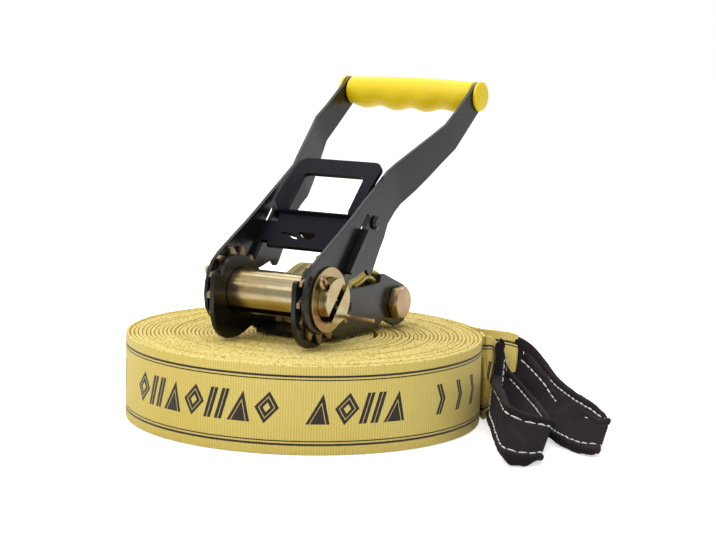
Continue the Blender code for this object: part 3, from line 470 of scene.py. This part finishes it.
def leaning_stations(shares, steps):
    """Stations through (x, y, z, lean, toward), with the places in widths of webbing."""
    return [(Vector((x, y, z)) * WIDTH, lean_way(lean, toward))
            for x, y, z, lean, toward in smooth_through(shares, steps)]


def tail_stations(leaves, shares, steps):
    """Stations that lead from an upright band's last foot on through a tail's shares."""
    start = leaves / WIDTH
    return leaning_stations([(*start, 0, shares[0][4]), *shares], steps)[1:]


def on_circle(radius, angle):
    return Vector((radius * math.cos(angle), radius * math.sin(angle), 0.0))


def route_length(points):
    return sum((after - before).length for before, after in zip(points, points[1:]))


def band_length(stations):
    return route_length([foot for foot, up_way in stations])


def strip_length(stations, width):
    """The length of straight strip that has this band's area, since a leaning band is skewed."""
    middles = [(foot + up_way * width / 2, up_way) for foot, up_way in stations]
    return sum((b[0] - a[0]).cross(a[1]).length for a, b in zip(middles, middles[1:]))


def rows_along(stations):
    """Each station with its way out of the band's outer face and its distance along."""
    rows, travelled = [], 0.0
    for index, (foot, up_way) in enumerate(stations):
        before = stations[max(index - 1, 0)][0]
        after = stations[min(index + 1, len(stations) - 1)][0]
        out_way = (after - before).cross(up_way).normalized()
        if index:
            travelled += (foot - stations[index - 1][0]).length
        rows.append(Row(foot, up_way, out_way, travelled))
    return rows


print("a curve through 3 points in 4 steps has", len(smooth_through([(0, 0), (1, 1), (2, 0)], 4)))

# %% [markdown]
# The section of a band has rounded edges. It is carried from row to row and joined by quads,
# as are the rings of a stitch and of the grip. A relief, where one is given, adds to the
# thickness from place to place.

# %% Band builder
SMOOTH_BELOW = math.radians(50.0)


def section(width, thickness, faces, edge_steps=3):
    """(across, through, outer) points round a band's section, through being -1 to 1."""
    soft = thickness / 2
    flats = [soft + (width - 2 * soft) * index / faces for index in range(faces + 1)]
    angles = [math.pi * index / (edge_steps + 1) for index in range(1, edge_steps + 1)]
    ring = [(across, 1.0, 1.0) for across in flats]
    ring += [(width - soft + soft * math.sin(angle), math.cos(angle), 0.0) for angle in angles]
    ring += [(width - across, -1.0, -1.0) for across in flats]
    ring += [(soft - soft * math.sin(angle), -math.cos(angle), 0.0) for angle in angles]
    return ring


def tube_faces(rings, around, start=0):
    """The quads between rings of points, and a flat face on each end."""
    faces = []
    for row in range(rings - 1):
        first, second = start + row * around, start + (row + 1) * around
        for step in range(around):
            following = (step + 1) % around
            faces.append((first + step, first + following, second + following, second + step))
    faces.append(tuple(range(start + around - 1, start - 1, -1)))
    faces.append(tuple(range(start + (rings - 1) * around, start + rings * around)))
    return faces


def finish_piece(name, verts, faces, layout, outer, material, body="roll"):
    """A piece with its layout as a map and, on a band, which side each point is on."""
    mesh = bpy.data.meshes.new(name)
    mesh.from_pydata(verts, [], faces)
    mesh.materials.append(material)
    uv = mesh.uv_layers.new(name="layout")
    for loop in mesh.loops:
        uv.data[loop.index].uv = layout[loop.vertex_index]
    if outer:
        attribute = mesh.attributes.new("outer_face", "FLOAT", "POINT")
        attribute.data.foreach_set("value", outer)
    work = bmesh.new()
    work.from_mesh(mesh)
    bmesh.ops.recalc_face_normals(work, faces=work.faces)
    work.to_mesh(mesh)
    work.free()
    mesh.shade_smooth()
    mesh.set_sharp_from_angle(angle=SMOOTH_BELOW)
    piece = add_object(name, mesh)
    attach(piece, body)
    return piece


def sweep(name, stations, width, thickness, material, faces=2, along_from=0.0,
          along_way=1.0, flipped=False, relief=None):
    """A band along stations, kept above the floor."""
    verts, layout, outer = [], [], []
    ring = section(width, thickness, faces)
    for row in rows_along(stations):
        for across, through, side in ring:
            raised = relief(row.travelled, across, through) if relief else 0.0
            place = row.foot + row.up_way * across
            place += row.out_way * (through * (thickness / 2 + raised))
            place.z = max(place.z, 0.0)
            verts.append(place)
            layout.append((along_from + along_way * row.travelled, across))
            outer.append(-side if flipped else side)
    quads = tube_faces(len(stations), len(ring))
    return finish_piece(name, verts, quads, layout, outer, material)


print("points round a plain band's section:", len(section(WIDTH, THICK, 2)))

# %% [markdown]
# The line is one band of about 12.4 m, wound by hand from the middle out. It could be a stack
# of rings, but a true spiral shows the steps between turns and ends where the real line
# leaves the roll. Its edges rise and fall a little from turn to turn, and never above the
# roll's top, on which the ratchet lies.

# %% The rolled line
PITCH, ROLL_RADIUS = 0.0024, 0.1072
LINE_TURNS, LINE_LEAVES_DEG, STEPS_A_TURN, LINE_TAIL_STEPS = 26.3, 56.0, 60, 6
# Faces across a printed band.
PRINTED_FACES = 4
# The outermost turns are drawn tight, so they have no drop and no drift.
TIGHT_TURNS, MOST_DROP, MOST_DRIFT, RIPPLE = 0.6, 0.0009, 0.00022, 0.0003
TURN_VALUES = 64
chance = random.Random(7)
drops = [chance.uniform(0.0, MOST_DROP) for _ in range(TURN_VALUES)]
drifts = [chance.uniform(0.0, MOST_DRIFT) for _ in range(TURN_VALUES)]
# Places of the lower edge in widths of webbing, then the lean and the side it leans to.
LINE_TAIL_SHARES = [
    (1.40, 1.60, 0.00, 1, 109), (1.61, 1.45, 0.01, 3, 109), (1.78, 1.36, 0.02, 8, 109),
    (1.93, 1.31, 0.03, 14, 109), (2.05, 1.29, 0.04, 20, 109), (2.14, 1.29, 0.04, 26, 109)]


def between_turns(values, turned):
    """A value that eases from one turn's to the next over a turn."""
    index, share = int(turned), turned - int(turned)
    share = share * share * (3 - 2 * share)
    return values[index] * (1 - share) + values[index + 1] * share


def roll_station(turns_in):
    """The place of the band's foot, and its way up, shortened where the turn sits low."""
    radius = ROLL_RADIUS - THICK / 2 - PITCH * turns_in
    angle = math.radians(LINE_LEAVES_DEG) + math.tau * turns_in
    low = 0.0
    if turns_in > TIGHT_TURNS:
        radius -= between_turns(drifts, turns_in)
        low = RIPPLE * math.sin(angle * 3.0 + turns_in) - between_turns(drops, turns_in)
    return on_circle(radius, angle), UP * (1.0 + min(low, 0.0) / WIDTH)


def make_line():
    count = int(LINE_TURNS * STEPS_A_TURN)
    wound = [roll_station(LINE_TURNS * (1 - index / count)) for index in range(count + 1)]
    tail = tail_stations(wound[-1][0], LINE_TAIL_SHARES, LINE_TAIL_STEPS)
    length = band_length(wound)
    line = sweep("rolled_line", wound + tail, WIDTH, THICK, printed_webbing,
                 faces=PRINTED_FACES, along_from=length, along_way=-1.0, flipped=True)
    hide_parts("line_webbing", "line_tail")
    return line, length + band_length(tail)


rolled_line, line_length = make_line()
print("line length m:", round(line_length, 2), "turns:", LINE_TURNS)

# %% [markdown]
# Inside the line, the ratchet's short strap is wound round its own folds. Seen from above the
# folds fill a rounded box, so the turns are drawn between the box's outline and the circle
# that the line starts from, and nothing gapes between them.

# %% The wound strap
AXLE = Vector(joints["handle_swing"]["pos_m"])
CORE_GAP = 0.0005
CORE_RADIUS = ROLL_RADIUS - THICK - PITCH * LINE_TURNS - CORE_GAP
CORE_TURNS, STEPS_A_CORE_TURN = 7.5, 40
CORE_WIDTH, CORE_DROP_SHARE, CORE_WAVER = WIDTH - 0.0004, 0.005, 0.13
FOLDS, STEPS_A_FOLD, FOLD_REACH, FOLD_EASE_SHARE = 9, 12, 0.0225, 0.25
BOX_HALF_LENGTH, BOX_HALF_DEPTH = 0.0262, 0.0128


def boxed(value, power):
    """A cosine or sine pushed out from a circle towards a box."""
    return math.copysign(abs(value) ** power, value)


def core_point(turns_out):
    """From the folds' outline to a circle, over the strap's turns."""
    share = turns_out / CORE_TURNS
    angle = math.tau * turns_out + math.radians(90.0)
    flat = Vector((AXLE.x + BOX_HALF_LENGTH * boxed(math.cos(angle), 0.5),
                   BOX_HALF_DEPTH * boxed(math.sin(angle), 0.8), 0.0))
    round_place = on_circle(1.0, angle) * (CORE_RADIUS - THICK / 2)
    return flat * (1 - share) + round_place * share


def fold_point(distance):
    """To and fro across the core, at one pitch a fold."""
    fold, share = int(distance), distance - int(distance)
    way = 1 if fold % 2 == 0 else -1
    reach = FOLD_REACH * way * math.cos(math.pi * share)
    late = max(share - (1 - FOLD_EASE_SHARE), 0.0) / FOLD_EASE_SHARE
    ease = 0.5 - 0.5 * math.cos(math.pi * late)
    return Vector((AXLE.x - reach, (fold + ease - FOLDS / 2) * PITCH, 0.0))


def make_core():
    folds = [fold_point(step / STEPS_A_FOLD) for step in range(STEPS_A_FOLD * FOLDS)]
    turns = [core_point(step / STEPS_A_CORE_TURN)
             for step in range(int(CORE_TURNS * STEPS_A_CORE_TURN) + 1)]
    route = folds + turns
    stations = [(point, UP * (1.0 - CORE_DROP_SHARE * (1 + math.sin(index * CORE_WAVER))))
                for index, point in enumerate(route)]
    core = sweep("wound_strap", stations, CORE_WIDTH, THICK, plain_webbing)
    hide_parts("roll_core")
    return core, route_length(route)


wound_strap, core_length = make_core()
print("wound strap m:", round(core_length, 2))

# %% [markdown]
# Under the ratchet the strap comes up, passes round the rear bolt's spacer and is sewn back on
# itself. Only its side view matters, so its route is a flat outline: a curve under the
# frame, an arc round the spacer and a curve back over it, read from the photograph.

# %% The ratchet's strap
# (along, up) from the axle, as shares of the way to the rear bolt.
STRAP_UNDER_SHARES = [
    (0.530, 0.010), (0.600, 0.028), (0.670, 0.052), (0.730, 0.052), (0.790, 0.022),
    (0.850, -0.030), (0.886, -0.085)]
STRAP_OVER_SHARES = [
    (0.955, -0.028), (0.900, 0.018), (0.840, 0.058), (0.780, 0.084), (0.720, 0.093),
    (0.660, 0.084), (0.590, 0.060), (0.530, 0.042), (0.480, 0.030)]
BOLT_REACH, BOLT_DROP, LOOP_RADIUS = 0.0905, 0.0130, 0.00925
LOOP_STARTS_DEG, LOOP_STOPS_DEG, LOOP_STEP_DEG, CURVE_STEPS = 190, 440, 10, 5
# Where the sewn end turns down into the roll, in metres from the axle.
SEWN_END = [(0.0412, -0.0011), (0.03962, -0.0043), (0.0393, -0.00975), (0.0393, -0.0440)]


def strap_place(along, up):
    return Vector((AXLE.x - WIDTH / 2, AXLE.y + along, AXLE.z + up))


def shared_places(shares):
    return [strap_place(along * BOLT_REACH, up * BOLT_REACH) for along, up in shares]


def make_ratchet_strap():
    loop = []
    for degrees in range(LOOP_STARTS_DEG, LOOP_STOPS_DEG + 1, LOOP_STEP_DEG):
        angle = math.radians(degrees)
        loop.append(strap_place(BOLT_REACH + LOOP_RADIUS * math.cos(angle),
                                -BOLT_DROP + LOOP_RADIUS * math.sin(angle)))
    under = shared_places(STRAP_UNDER_SHARES)
    over = shared_places(STRAP_OVER_SHARES) + [strap_place(*place) for place in SEWN_END]
    route = smooth_through(under, CURVE_STEPS) + loop + smooth_through(over, CURVE_STEPS)
    stations = [(point, Vector((1.0, 0.0, 0.0))) for point in route]
    strap = sweep("sewn_ratchet_strap", stations, WIDTH, THICK, plain_webbing)
    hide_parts("ratchet_strap")
    return strap, route_length(route)


sewn_strap, strap_length = make_ratchet_strap()
print("strap on the ratchet m:", round(strap_length, 3))

# %% [markdown]
# The strap's outer end lies on the roll for a short stretch, one pitch outside the line, and
# runs out to its own eye. It is swept like the line, so its print and edges match.

# %% The strap's outer end
END_STARTS_DEG, END_LEAVES_DEG, END_STEPS = 38.0, 30.0, 8
END_TAIL_STEPS, END_PRINT_FROM = 8, 0.331
STRAP_TAIL_SHARES = [
    (1.93, 0.94, 0.02, 12, 111), (2.01, 0.86, 0.07, 28, 111), (2.09, 0.79, 0.13, 46, 111),
    (2.18, 0.73, 0.17, 62, 111), (2.26, 0.69, 0.16, 64, 111)]


def make_strap_end():
    stations = []
    for step in range(END_STEPS + 1):
        degrees = END_STARTS_DEG + (END_LEAVES_DEG - END_STARTS_DEG) * step / END_STEPS
        turns_in = (degrees - LINE_LEAVES_DEG + 360.0) / 360.0
        radius = ROLL_RADIUS - THICK / 2 - PITCH * turns_in + PITCH
        stations.append((on_circle(radius, math.radians(degrees)), UP))
    stations += tail_stations(stations[-1][0], STRAP_TAIL_SHARES, END_TAIL_STEPS)
    end = sweep("strap_outer_end", stations, WIDTH, THICK, printed_webbing,
                faces=PRINTED_FACES, along_from=END_PRINT_FROM, flipped=True)
    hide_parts("ratchet_strap_tail")
    return end, band_length(stations)


strap_end, end_length = make_strap_end()
print("strap end mm:", round(end_length * 1000))

# %% [markdown]
# A sleeve is a closed cloth tube drawn over the webbing of an eye. A line of stitches near
# each edge pulls its faces in, and the hems beyond swell and wrinkle, but lie flatter where
# the eye folds back. A cloth simulation could make this, but a relief on a swept band gives
# the same forms at once and can be set by number.

# %% The cloth of the sleeves
LINE_EYE_SHARES = [
    (2.10, 1.36, 0.04, 22, 109), (2.28, 1.34, 0.04, 38, 108), (2.47, 1.22, 0.04, 52, 107),
    (2.70, 0.99, 0.04, 62, 106), (2.93, 0.74, 0.04, 66, 105), (3.17, 0.50, 0.04, 69, 104),
    (3.44, 0.27, 0.04, 71, 104), (3.64, 0.12, 0.04, 74, 105), (3.76, 0.02, 0.04, 76, 105),
    (3.71, -0.07, 0.04, 77, 105), (3.54, 0.02, 0.04, 77, 104), (3.35, 0.14, 0.04, 78, 104),
    (3.15, 0.31, 0.04, 77, 104), (2.97, 0.50, 0.04, 75, 105), (2.81, 0.67, 0.04, 69, 106),
    (2.65, 0.82, 0.04, 60, 106), (2.45, 1.01, 0.04, 51, 107), (2.25, 1.16, 0.04, 42, 107),
    (2.08, 1.19, 0.04, 30, 109), (1.97, 1.195, 0.03, 22, 109)]
STRAP_EYE_SHARES = [
    (2.085, 0.90, 0.06, 26, 111), (2.14, 0.83, 0.10, 42, 111), (2.20, 0.755, 0.16, 58, 111),
    (2.30, 0.68, 0.14, 65, 111), (2.50, 0.49, 0.10, 67, 110),
    (2.72, 0.25, 0.06, 70, 108), (2.95, -0.04, 0.04, 72, 106), (3.19, -0.40, 0.04, 74, 105),
    (3.33, -0.62, 0.04, 75, 105), (3.335, -0.80, 0.04, 72, 105), (3.25, -0.905, 0.04, 69, 108),
    (3.15, -0.94, 0.05, 66, 112), (3.05, -0.87, 0.07, 64, 113), (2.87, -0.61, 0.12, 64, 113),
    (2.64, -0.24, 0.17, 66, 114), (2.42, 0.14, 0.18, 68, 113), (2.24, 0.50, 0.16, 66, 112)]
SLEEVE_WIDTH, SLEEVE_THICK, STITCH_INSET = 0.048, 0.0034, 0.0087
HEM_SWELL, HEM_MIDDLE, HEM_SPREAD = 0.0017, 0.0042, 0.0033
STITCH_PULL, PULL_SPREAD = 0.0006, 0.0013
WAVE_HEIGHT, CREASE_HEIGHT, WRINKLE_SPREAD = 0.0010, 0.00045, 0.010
FOLD_FLAT_SPREAD, FOLD_SPREAD, FOLD_RISE, FOLD_NARROWING = 0.012, 0.0075, 0.0030, 0.15
# Stations on each side of one that are compared to find where the band turns most.
TURN_REACH = 6


def hump(distance, spread):
    """1 at no distance, falling off evenly over a spread."""
    return math.exp(-(distance / spread) ** 2)


def cloth_relief(seed, fold_along):
    """How far a sleeve's face stands out at a place, hems, stitch lines and wrinkles together."""
    def relief(along, across, through):
        from_edge = min(across, SLEEVE_WIDTH - across)
        flattened = 1 - 0.85 * hump(along - fold_along, FOLD_FLAT_SPREAD)
        swell = HEM_SWELL * hump(from_edge - HEM_MIDDLE, HEM_SPREAD) * flattened
        pull = STITCH_PULL * hump(from_edge - STITCH_INSET, PULL_SPREAD)
        wave = noise.noise(Vector((along * 210.0, across * 26.0, seed + through * 0.7)))
        crease = noise.noise(Vector((along * 420.0, across * 60.0, seed + 9.0 + through)))
        near_hem = 0.35 + 0.65 * hump(from_edge, WRINKLE_SPREAD)
        return swell - pull + (WAVE_HEIGHT * wave + CREASE_HEIGHT * crease) * near_hem
    return relief


def fold_row(stations):
    """The station where the band turns most sharply."""
    def turn(index):
        before = stations[index][0] - stations[index - TURN_REACH][0]
        return before.angle(stations[index + TURN_REACH][0] - stations[index][0])
    return max(range(TURN_REACH, len(stations) - TURN_REACH), key=turn)


def rounded_fold(stations, fold):
    """The band drawn in at its fold, so that both its corners are round."""
    rows, result = rows_along(stations), []
    for row in rows:
        near = hump(row.travelled - rows[fold].travelled, FOLD_SPREAD)
        result.append((row.foot + row.up_way * (FOLD_RISE * near),
                       row.up_way * (1.0 - FOLD_NARROWING * near)))
    return result


print("hem swells by mm:", HEM_SWELL * 1000)

# %% [markdown]
# Each stitch is a short cord of its own that dips into the cloth at both ends. A picture of
# stitches would look flat from near. The stitches follow the sleeve's relief, two rows along
# it and one across each of its ends, on both faces.

# %% Stitches
STITCH_LENGTH, STITCH_GAP, STITCH_RADIUS, STITCH_RISE = 0.0044, 0.0011, 0.00052, 0.00035
STITCH_SIDES, STITCH_STEPS, CROSS_STITCH_SHARE = 6, 5, 0.8
ROW_STARTS, ROW_STOPS, CROSS_ROW_INSET, CROSS_ROW_OVER = 0.005, 0.004, 0.0048, 0.001
STITCH_MAP_ALONG, STITCH_MAP_ROUND = 0.0009, 0.0004


def face_point(rows, relief, along, across, through, lift):
    """The place on a sleeve's face at a distance along it."""
    index = 1
    while index < len(rows) - 1 and rows[index].travelled < along:
        index += 1
    low, high = rows[index - 1], rows[index]
    share = (along - low.travelled) / (high.travelled - low.travelled)
    foot, up_way = low.foot.lerp(high.foot, share), low.up_way.lerp(high.up_way, share)
    out_way = low.out_way.lerp(high.out_way, share).normalized()
    half = SLEEVE_THICK / 2 + relief(along, across, through) + lift
    place = foot + up_way.normalized() * across + out_way * (through * half)
    place.z = max(place.z, STITCH_RADIUS)
    return place


def stitch_spine(rows, relief, begin, end, through):
    """The points of one stitch, from one (along, across) of a face to another."""
    spine = []
    for step in range(STITCH_STEPS + 1):
        share = step / STITCH_STEPS
        along, across = (low + (high - low) * share for low, high in zip(begin, end))
        lift = STITCH_RISE * math.sin(math.pi * share)
        spine.append(face_point(rows, relief, along, across, through, lift))
    return spine


def stitch_starts(start, stop, length):
    """Where the stitches of a row start, for as long as a whole one fits."""
    while start + length < stop:
        yield start
        start += length + STITCH_GAP


def stitch_spines(rows, relief):
    """All stitches of a sleeve: on each face two rows along it and two across."""
    length, far_row = rows[-1].travelled, SLEEVE_WIDTH - STITCH_INSET
    short = STITCH_LENGTH * CROSS_STITCH_SHARE
    for through in (1.0, -1.0):
        for across in (STITCH_INSET, far_row):
            for start in stitch_starts(ROW_STARTS, length - ROW_STOPS, STITCH_LENGTH):
                end = (start + STITCH_LENGTH, across)
                yield stitch_spine(rows, relief, (start, across), end, through)
        for along in (CROSS_ROW_INSET, length - CROSS_ROW_INSET):
            for start in stitch_starts(STITCH_INSET, far_row + CROSS_ROW_OVER, short):
                end = (along, start + short)
                yield stitch_spine(rows, relief, (along, start), end, through)


def add_stitch(verts, faces, layout, spine):
    """A cord along a spine, thinner towards both ends."""
    start, last = len(verts), len(spine) - 1
    for index, point in enumerate(spine):
        ahead = spine[min(index + 1, last)] - spine[max(index - 1, 0)]
        side_way = ahead.orthogonal().normalized()
        other_way = ahead.cross(side_way).normalized()
        size = STITCH_RADIUS * (0.55 + 0.45 * math.sin(math.pi * index / last))
        for step in range(STITCH_SIDES):
            angle = math.tau * step / STITCH_SIDES
            round_way = side_way * math.cos(angle) + other_way * math.sin(angle)
            verts.append(point + round_way * size)
            layout.append((index * STITCH_MAP_ALONG, step * STITCH_MAP_ROUND))
    faces += tube_faces(len(spine), STITCH_SIDES, start)


print("a stitch has", STITCH_SIDES * (STITCH_STEPS + 1), "points")

# %% Sleeves
SLEEVE_STEPS, SLEEVE_FACES = 12, 26


def make_sleeve(name, node, shares, seed):
    stations = leaning_stations(shares, SLEEVE_STEPS)
    fold = fold_row(stations)
    stations = rounded_fold(stations, fold)
    rows = rows_along(stations)
    relief = cloth_relief(seed, rows[fold].travelled)
    sleeve = sweep(name, stations, SLEEVE_WIDTH, SLEEVE_THICK, sleeve_cloth,
                   faces=SLEEVE_FACES, relief=relief)
    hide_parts(node)
    verts, faces, layout = [], [], []
    for spine in stitch_spines(rows, relief):
        add_stitch(verts, faces, layout, spine)
    seam = finish_piece(name + "_stitches", verts, faces, layout, None, white_thread)
    cut_length = strip_length(stations, SLEEVE_WIDTH)
    return cut_length


line_eye = make_sleeve("line_eye_cloth", "line_eye_sleeve", LINE_EYE_SHARES, 3.0)
strap_eye = make_sleeve("strap_eye_cloth", "strap_eye_sleeve", STRAP_EYE_SHARES, 21.0)
print("sleeve lengths, mm:", round(line_eye * 1000), round(strap_eye * 1000))

# %% [markdown]
# The grip is one moulded handle with four finger waves under it and a soft crown, and its
# ends are rounded where they meet the plates. A cylinder could be sculpted, but rings whose
# radius is a formula give even waves and a clean mesh.

# %% Grip
HANDLE_ANGLE, GRIP_REACH, GRIP_HALF = math.radians(35.1), 0.1926, 0.0445
GRIP_RADIUS, GRIP_EDGE, CROWN = 0.0089, 0.0010, 0.0012
WAVES, WAVE_DEPTH, WAVE_OUT, WAVES_FACE = 4, 0.0020, 0.0004, math.radians(222.0)
GRIP_SLICES, GRIP_STEPS, GRIP_MAP_ROUND = 96, 64, 0.009


def on_handle(along, across):
    """(Y, Z) of a point of the handle, from its axle."""
    return (AXLE.y + along * math.cos(HANDLE_ANGLE) - across * math.sin(HANDLE_ANGLE),
            AXLE.z + along * math.sin(HANDLE_ANGLE) + across * math.cos(HANDLE_ANGLE))


def grip_radius(share, angle):
    """The grip's radius at a share of its length and an angle round it."""
    end = min(min(share, 1 - share) * 2 * GRIP_HALF, GRIP_EDGE)
    rounding = GRIP_EDGE - math.sqrt(max(GRIP_EDGE ** 2 - (GRIP_EDGE - end) ** 2, 0.0))
    swell = CROWN * math.sin(math.pi * share)
    dip = WAVE_DEPTH * (1 - math.cos(2 * WAVES * math.pi * share)) / 2 - WAVE_OUT
    under = max(math.cos(angle - WAVES_FACE), 0.0) ** 1.2
    return GRIP_RADIUS + swell + dip * under - rounding


def make_grip():
    verts, layout = [], []
    for index in range(GRIP_SLICES + 1):
        share = index / GRIP_SLICES
        for step in range(GRIP_STEPS):
            angle = math.tau * step / GRIP_STEPS
            radius = grip_radius(share, angle)
            y, z = on_handle(GRIP_REACH + radius * math.cos(angle), radius * math.sin(angle))
            verts.append(Vector((AXLE.x - GRIP_HALF + 2 * GRIP_HALF * share, y, z)))
            layout.append((share * 2 * GRIP_HALF, angle * GRIP_MAP_ROUND))
    faces = tube_faces(GRIP_SLICES + 1, GRIP_STEPS)
    grip = finish_piece("moulded_grip", verts, faces, layout, None, grip_plastic,
                        "handle")
    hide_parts("grip")


make_grip()
print("grip at height mm:", round(on_handle(GRIP_REACH, 0.0)[1] * 1000, 1))

# %% [markdown]
# The pressed and turned pieces keep the packed model's shape. Their triangles come apart at
# every edge, so a bevel alone would do nothing: a small group of geometry nodes first joins
# them, shades round faces smooth and keeps steep edges sharp. A fine bevel then catches the
# light as real edges do.

# %% Smoothing by nodes
JOIN_DISTANCE, STEEP_EDGE = 0.00001, math.radians(32.0)


def make_smoother():
    """A node group that joins the triangles, shades faces smooth and keeps edges sharp."""
    group = bpy.data.node_groups.new("smooth_by_angle", "GeometryNodeTree")
    for way in ("INPUT", "OUTPUT"):
        group.interface.new_socket("Geometry", in_out=way, socket_type="NodeSocketGeometry")
    start = add_node(group, "NodeGroupInput", {}, {})
    joined = add_node(group, "GeometryNodeMergeByDistance", {},
                      {"Geometry": start.outputs[0], "Distance": JOIN_DISTANCE})
    plain = add_node(group, "GeometryNodeRemoveAttribute", {},
                     {"Geometry": joined.outputs[0], "Name": "custom_normal"})
    smooth = add_node(group, "GeometryNodeSetShadeSmooth", {}, {"Geometry": plain.outputs[0]})
    angle = add_node(group, "GeometryNodeInputMeshEdgeAngle", {}, {})
    steep = add_node(group, "FunctionNodeCompare", {"operation": "GREATER_THAN"},
                     {0: angle.outputs["Unsigned Angle"], 1: STEEP_EDGE})
    sharp = add_node(group, "GeometryNodeSetShadeSmooth", {"domain": "EDGE"},
                     {"Geometry": smooth.outputs[0], "Selection": steep.outputs[0],
                      "Shade Smooth": False})
    add_node(group, "NodeGroupOutput", {}, {0: sharp.outputs[0]})
    return group


smoother = make_smoother()
print("nodes that smooth a piece:", len(smoother.nodes))

# %% Finishes of the hard pieces
BEVEL_FROM = math.radians(40.0)
# A material, the width of its bevel and the pieces that have both.
FINISHES = [
    (black_steel, 0.0004, ["frame_left_plate", "frame_right_plate", "frame_web",
                           "handle_left_plate", "handle_right_plate"]),
    (black_steel, 0.0003, ["cross_rod", "left_pawl_ear", "right_pawl_ear"]),
    (black_steel, 0.0002, ["grip_rod"]),
    (blue_steel, 0.0004, ["drive_pawl", "lock_pawl"]),
    (zinc, 0.0003, ["rear_bolt", "rear_nut"]),
    (zinc, 0.0002, ["left_end_washer", "right_end_washer"]),
    (zinc, 0.0, ["rear_spacer", "left_split_pin", "right_split_pin"]),
    (reel_zinc, 0.0003, ["upper_half_moon", "lower_half_moon"]),
    # The gears take the darker copy of the zinc, which is painted shade.
    (shaded_gear_zinc, 0.0002, ["left_ratchet_gear", "right_ratchet_gear"]),
    (grip_plastic, 0.0004, ["left_grip_cap", "right_grip_cap"])]


def finish_hard_piece(piece, material, edge):
    piece.modifiers.new("smooth", "NODES").node_group = smoother
    for place in piece.material_slots:
        place.material = material
    if edge:
        bevel = piece.modifiers.new("edge", "BEVEL")
        bevel.width, bevel.segments = edge, 2
        bevel.limit_method, bevel.angle_limit = "ANGLE", BEVEL_FROM
        bevel.harden_normals = True


for material, edge, names in FINISHES:
    for name in names:
        finish_hard_piece(nodes[name], material, edge)
print("hard pieces finished:", sum(len(names) for material, edge, names in FINISHES))

# %% [markdown]
# The drive pawl's spring is pressed against the cross rod as the pawl slides. A rigid copy
# would run into the rod. This one is a copy that rides on the pawl, and its length along the
# slide is printed.

# %% The drive pawl's spring
SLIDE_WAY = Vector(joints["drive_pawl_slide"]["axis"])


def make_pawl_spring():
    source = nodes["drive_pawl_spring"]
    mesh = source.data.copy()
    mesh.transform(source.matrix_world)
    mesh.materials.clear()
    mesh.materials.append(zinc)
    mesh.shade_smooth()
    spring = add_object("pawl_spring", mesh)
    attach(spring, "drive_pawl")
    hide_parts("drive_pawl_spring")
    coils = sorted((vertex.co.copy() for vertex in mesh.vertices), key=SLIDE_WAY.dot)
    length = SLIDE_WAY.dot(coils[-1] - coils[0])
    tuple(coils[0])
    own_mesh(spring)
    return length


print("pawl spring, mm:", round(make_pawl_spring() * 1000, 1))

# %% [markdown]
# The object stands on a pale floor in a pale room, as in a studio. The floor glows for the
# camera, which keeps it near white without strong lights that would wash the object out.

# %% Floor and room
FLOOR_HALF, FLOOR_BELOW, FLOOR_GLOW = 6.0, 0.0002, 0.62
BLACK, WHITE, FLOOR_WHITE = (0.0, 0.0, 0.0), (1.0, 1.0, 1.0), (0.93, 0.93, 0.93)
ROOM_GREY, MIRRORED_GREY = (0.44, 0.44, 0.45), (0.60, 0.60, 0.60)


def make_floor():
    corners = [(x * FLOOR_HALF, y * FLOOR_HALF, 0.0)
               for x, y in ((-1, -1), (1, -1), (1, 1), (-1, 1))]
    mesh = bpy.data.meshes.new("floor")
    mesh.from_pydata(corners, [], [(0, 1, 2, 3)])
    floor = add_object("floor", mesh)
    floor.location = (0.0, 0.0, -FLOOR_BELOW)
    shader = Shader(bpy.data.materials.new("pale_floor"))
    camera_ray, glossy_ray = shader.rays()
    glow = shader.mix(camera_ray.most(glossy_ray * 0.5), BLACK, WHITE)
    mesh.materials.append(shader.set(Base_Color=FLOOR_WHITE, Roughness=0.9,
                                     Specular_IOR_Level=0.1, Emission_Color=glow,
                                     Emission_Strength=FLOOR_GLOW))


def make_room():
    """White to the camera, grey in gloss and a darker grey as light."""
    room = Shader(bpy.data.worlds.new("studio"), "Background")
    camera_ray, glossy_ray = room.rays()
    seen = room.mix(camera_ray, ROOM_GREY, WHITE)
    bpy.context.scene.world = room.set(Color=room.mix(glossy_ray, seen, MIRRORED_GREY))


make_floor()
make_room()
bpy.context.scene.view_settings.view_transform = "Standard"
print("floor is", round(FLOOR_HALF * 2), "m wide")

# %% [markdown]
# Four broad lights keep the shadows soft. The key stands at the upper left and a weak fill at
# the right, as the photograph's shadows show. One above and one behind draw bright lines
# along the black steel's edges, without which it would sink into one dark shape.

# %% Lights
# Each has a place, a target, a size and a power. Places are in the camera's ground frame.
LIGHTS = {
    "key": ((-0.70, -0.62, 1.12), (0.0, 0.0, 0.08), (0.9, 0.9), 6.4),
    "fill": ((1.1, -0.8, 0.6), (0.0, 0.0, 0.08), (0.7, 0.9), 0.9),
    "back": ((0.2, 1.0, 0.9), (0.0, 0.0, 0.1), (1.4, 0.6), 5.0),
    "top": ((0.0, 0.1, 1.3), (0.0, 0.0, 0.0), (1.3, 1.3), 10.0)}


def area_light(name, place, target, size, power):
    light = bpy.data.lights.new(name, "AREA")
    light.shape, light.size, light.size_y = "RECTANGLE", size[0], size[1]
    light.energy = power
    lamp = add_object(name, light)
    lamp.location = from_view(*place)
    aim = from_view(*target) - from_view(*place)
    lamp.rotation_euler = aim.to_track_quat("-Z", "Y").to_euler()


for name, facts in LIGHTS.items():
    area_light(name, *facts)
print("lights:", list(LIGHTS))

# %% [markdown]
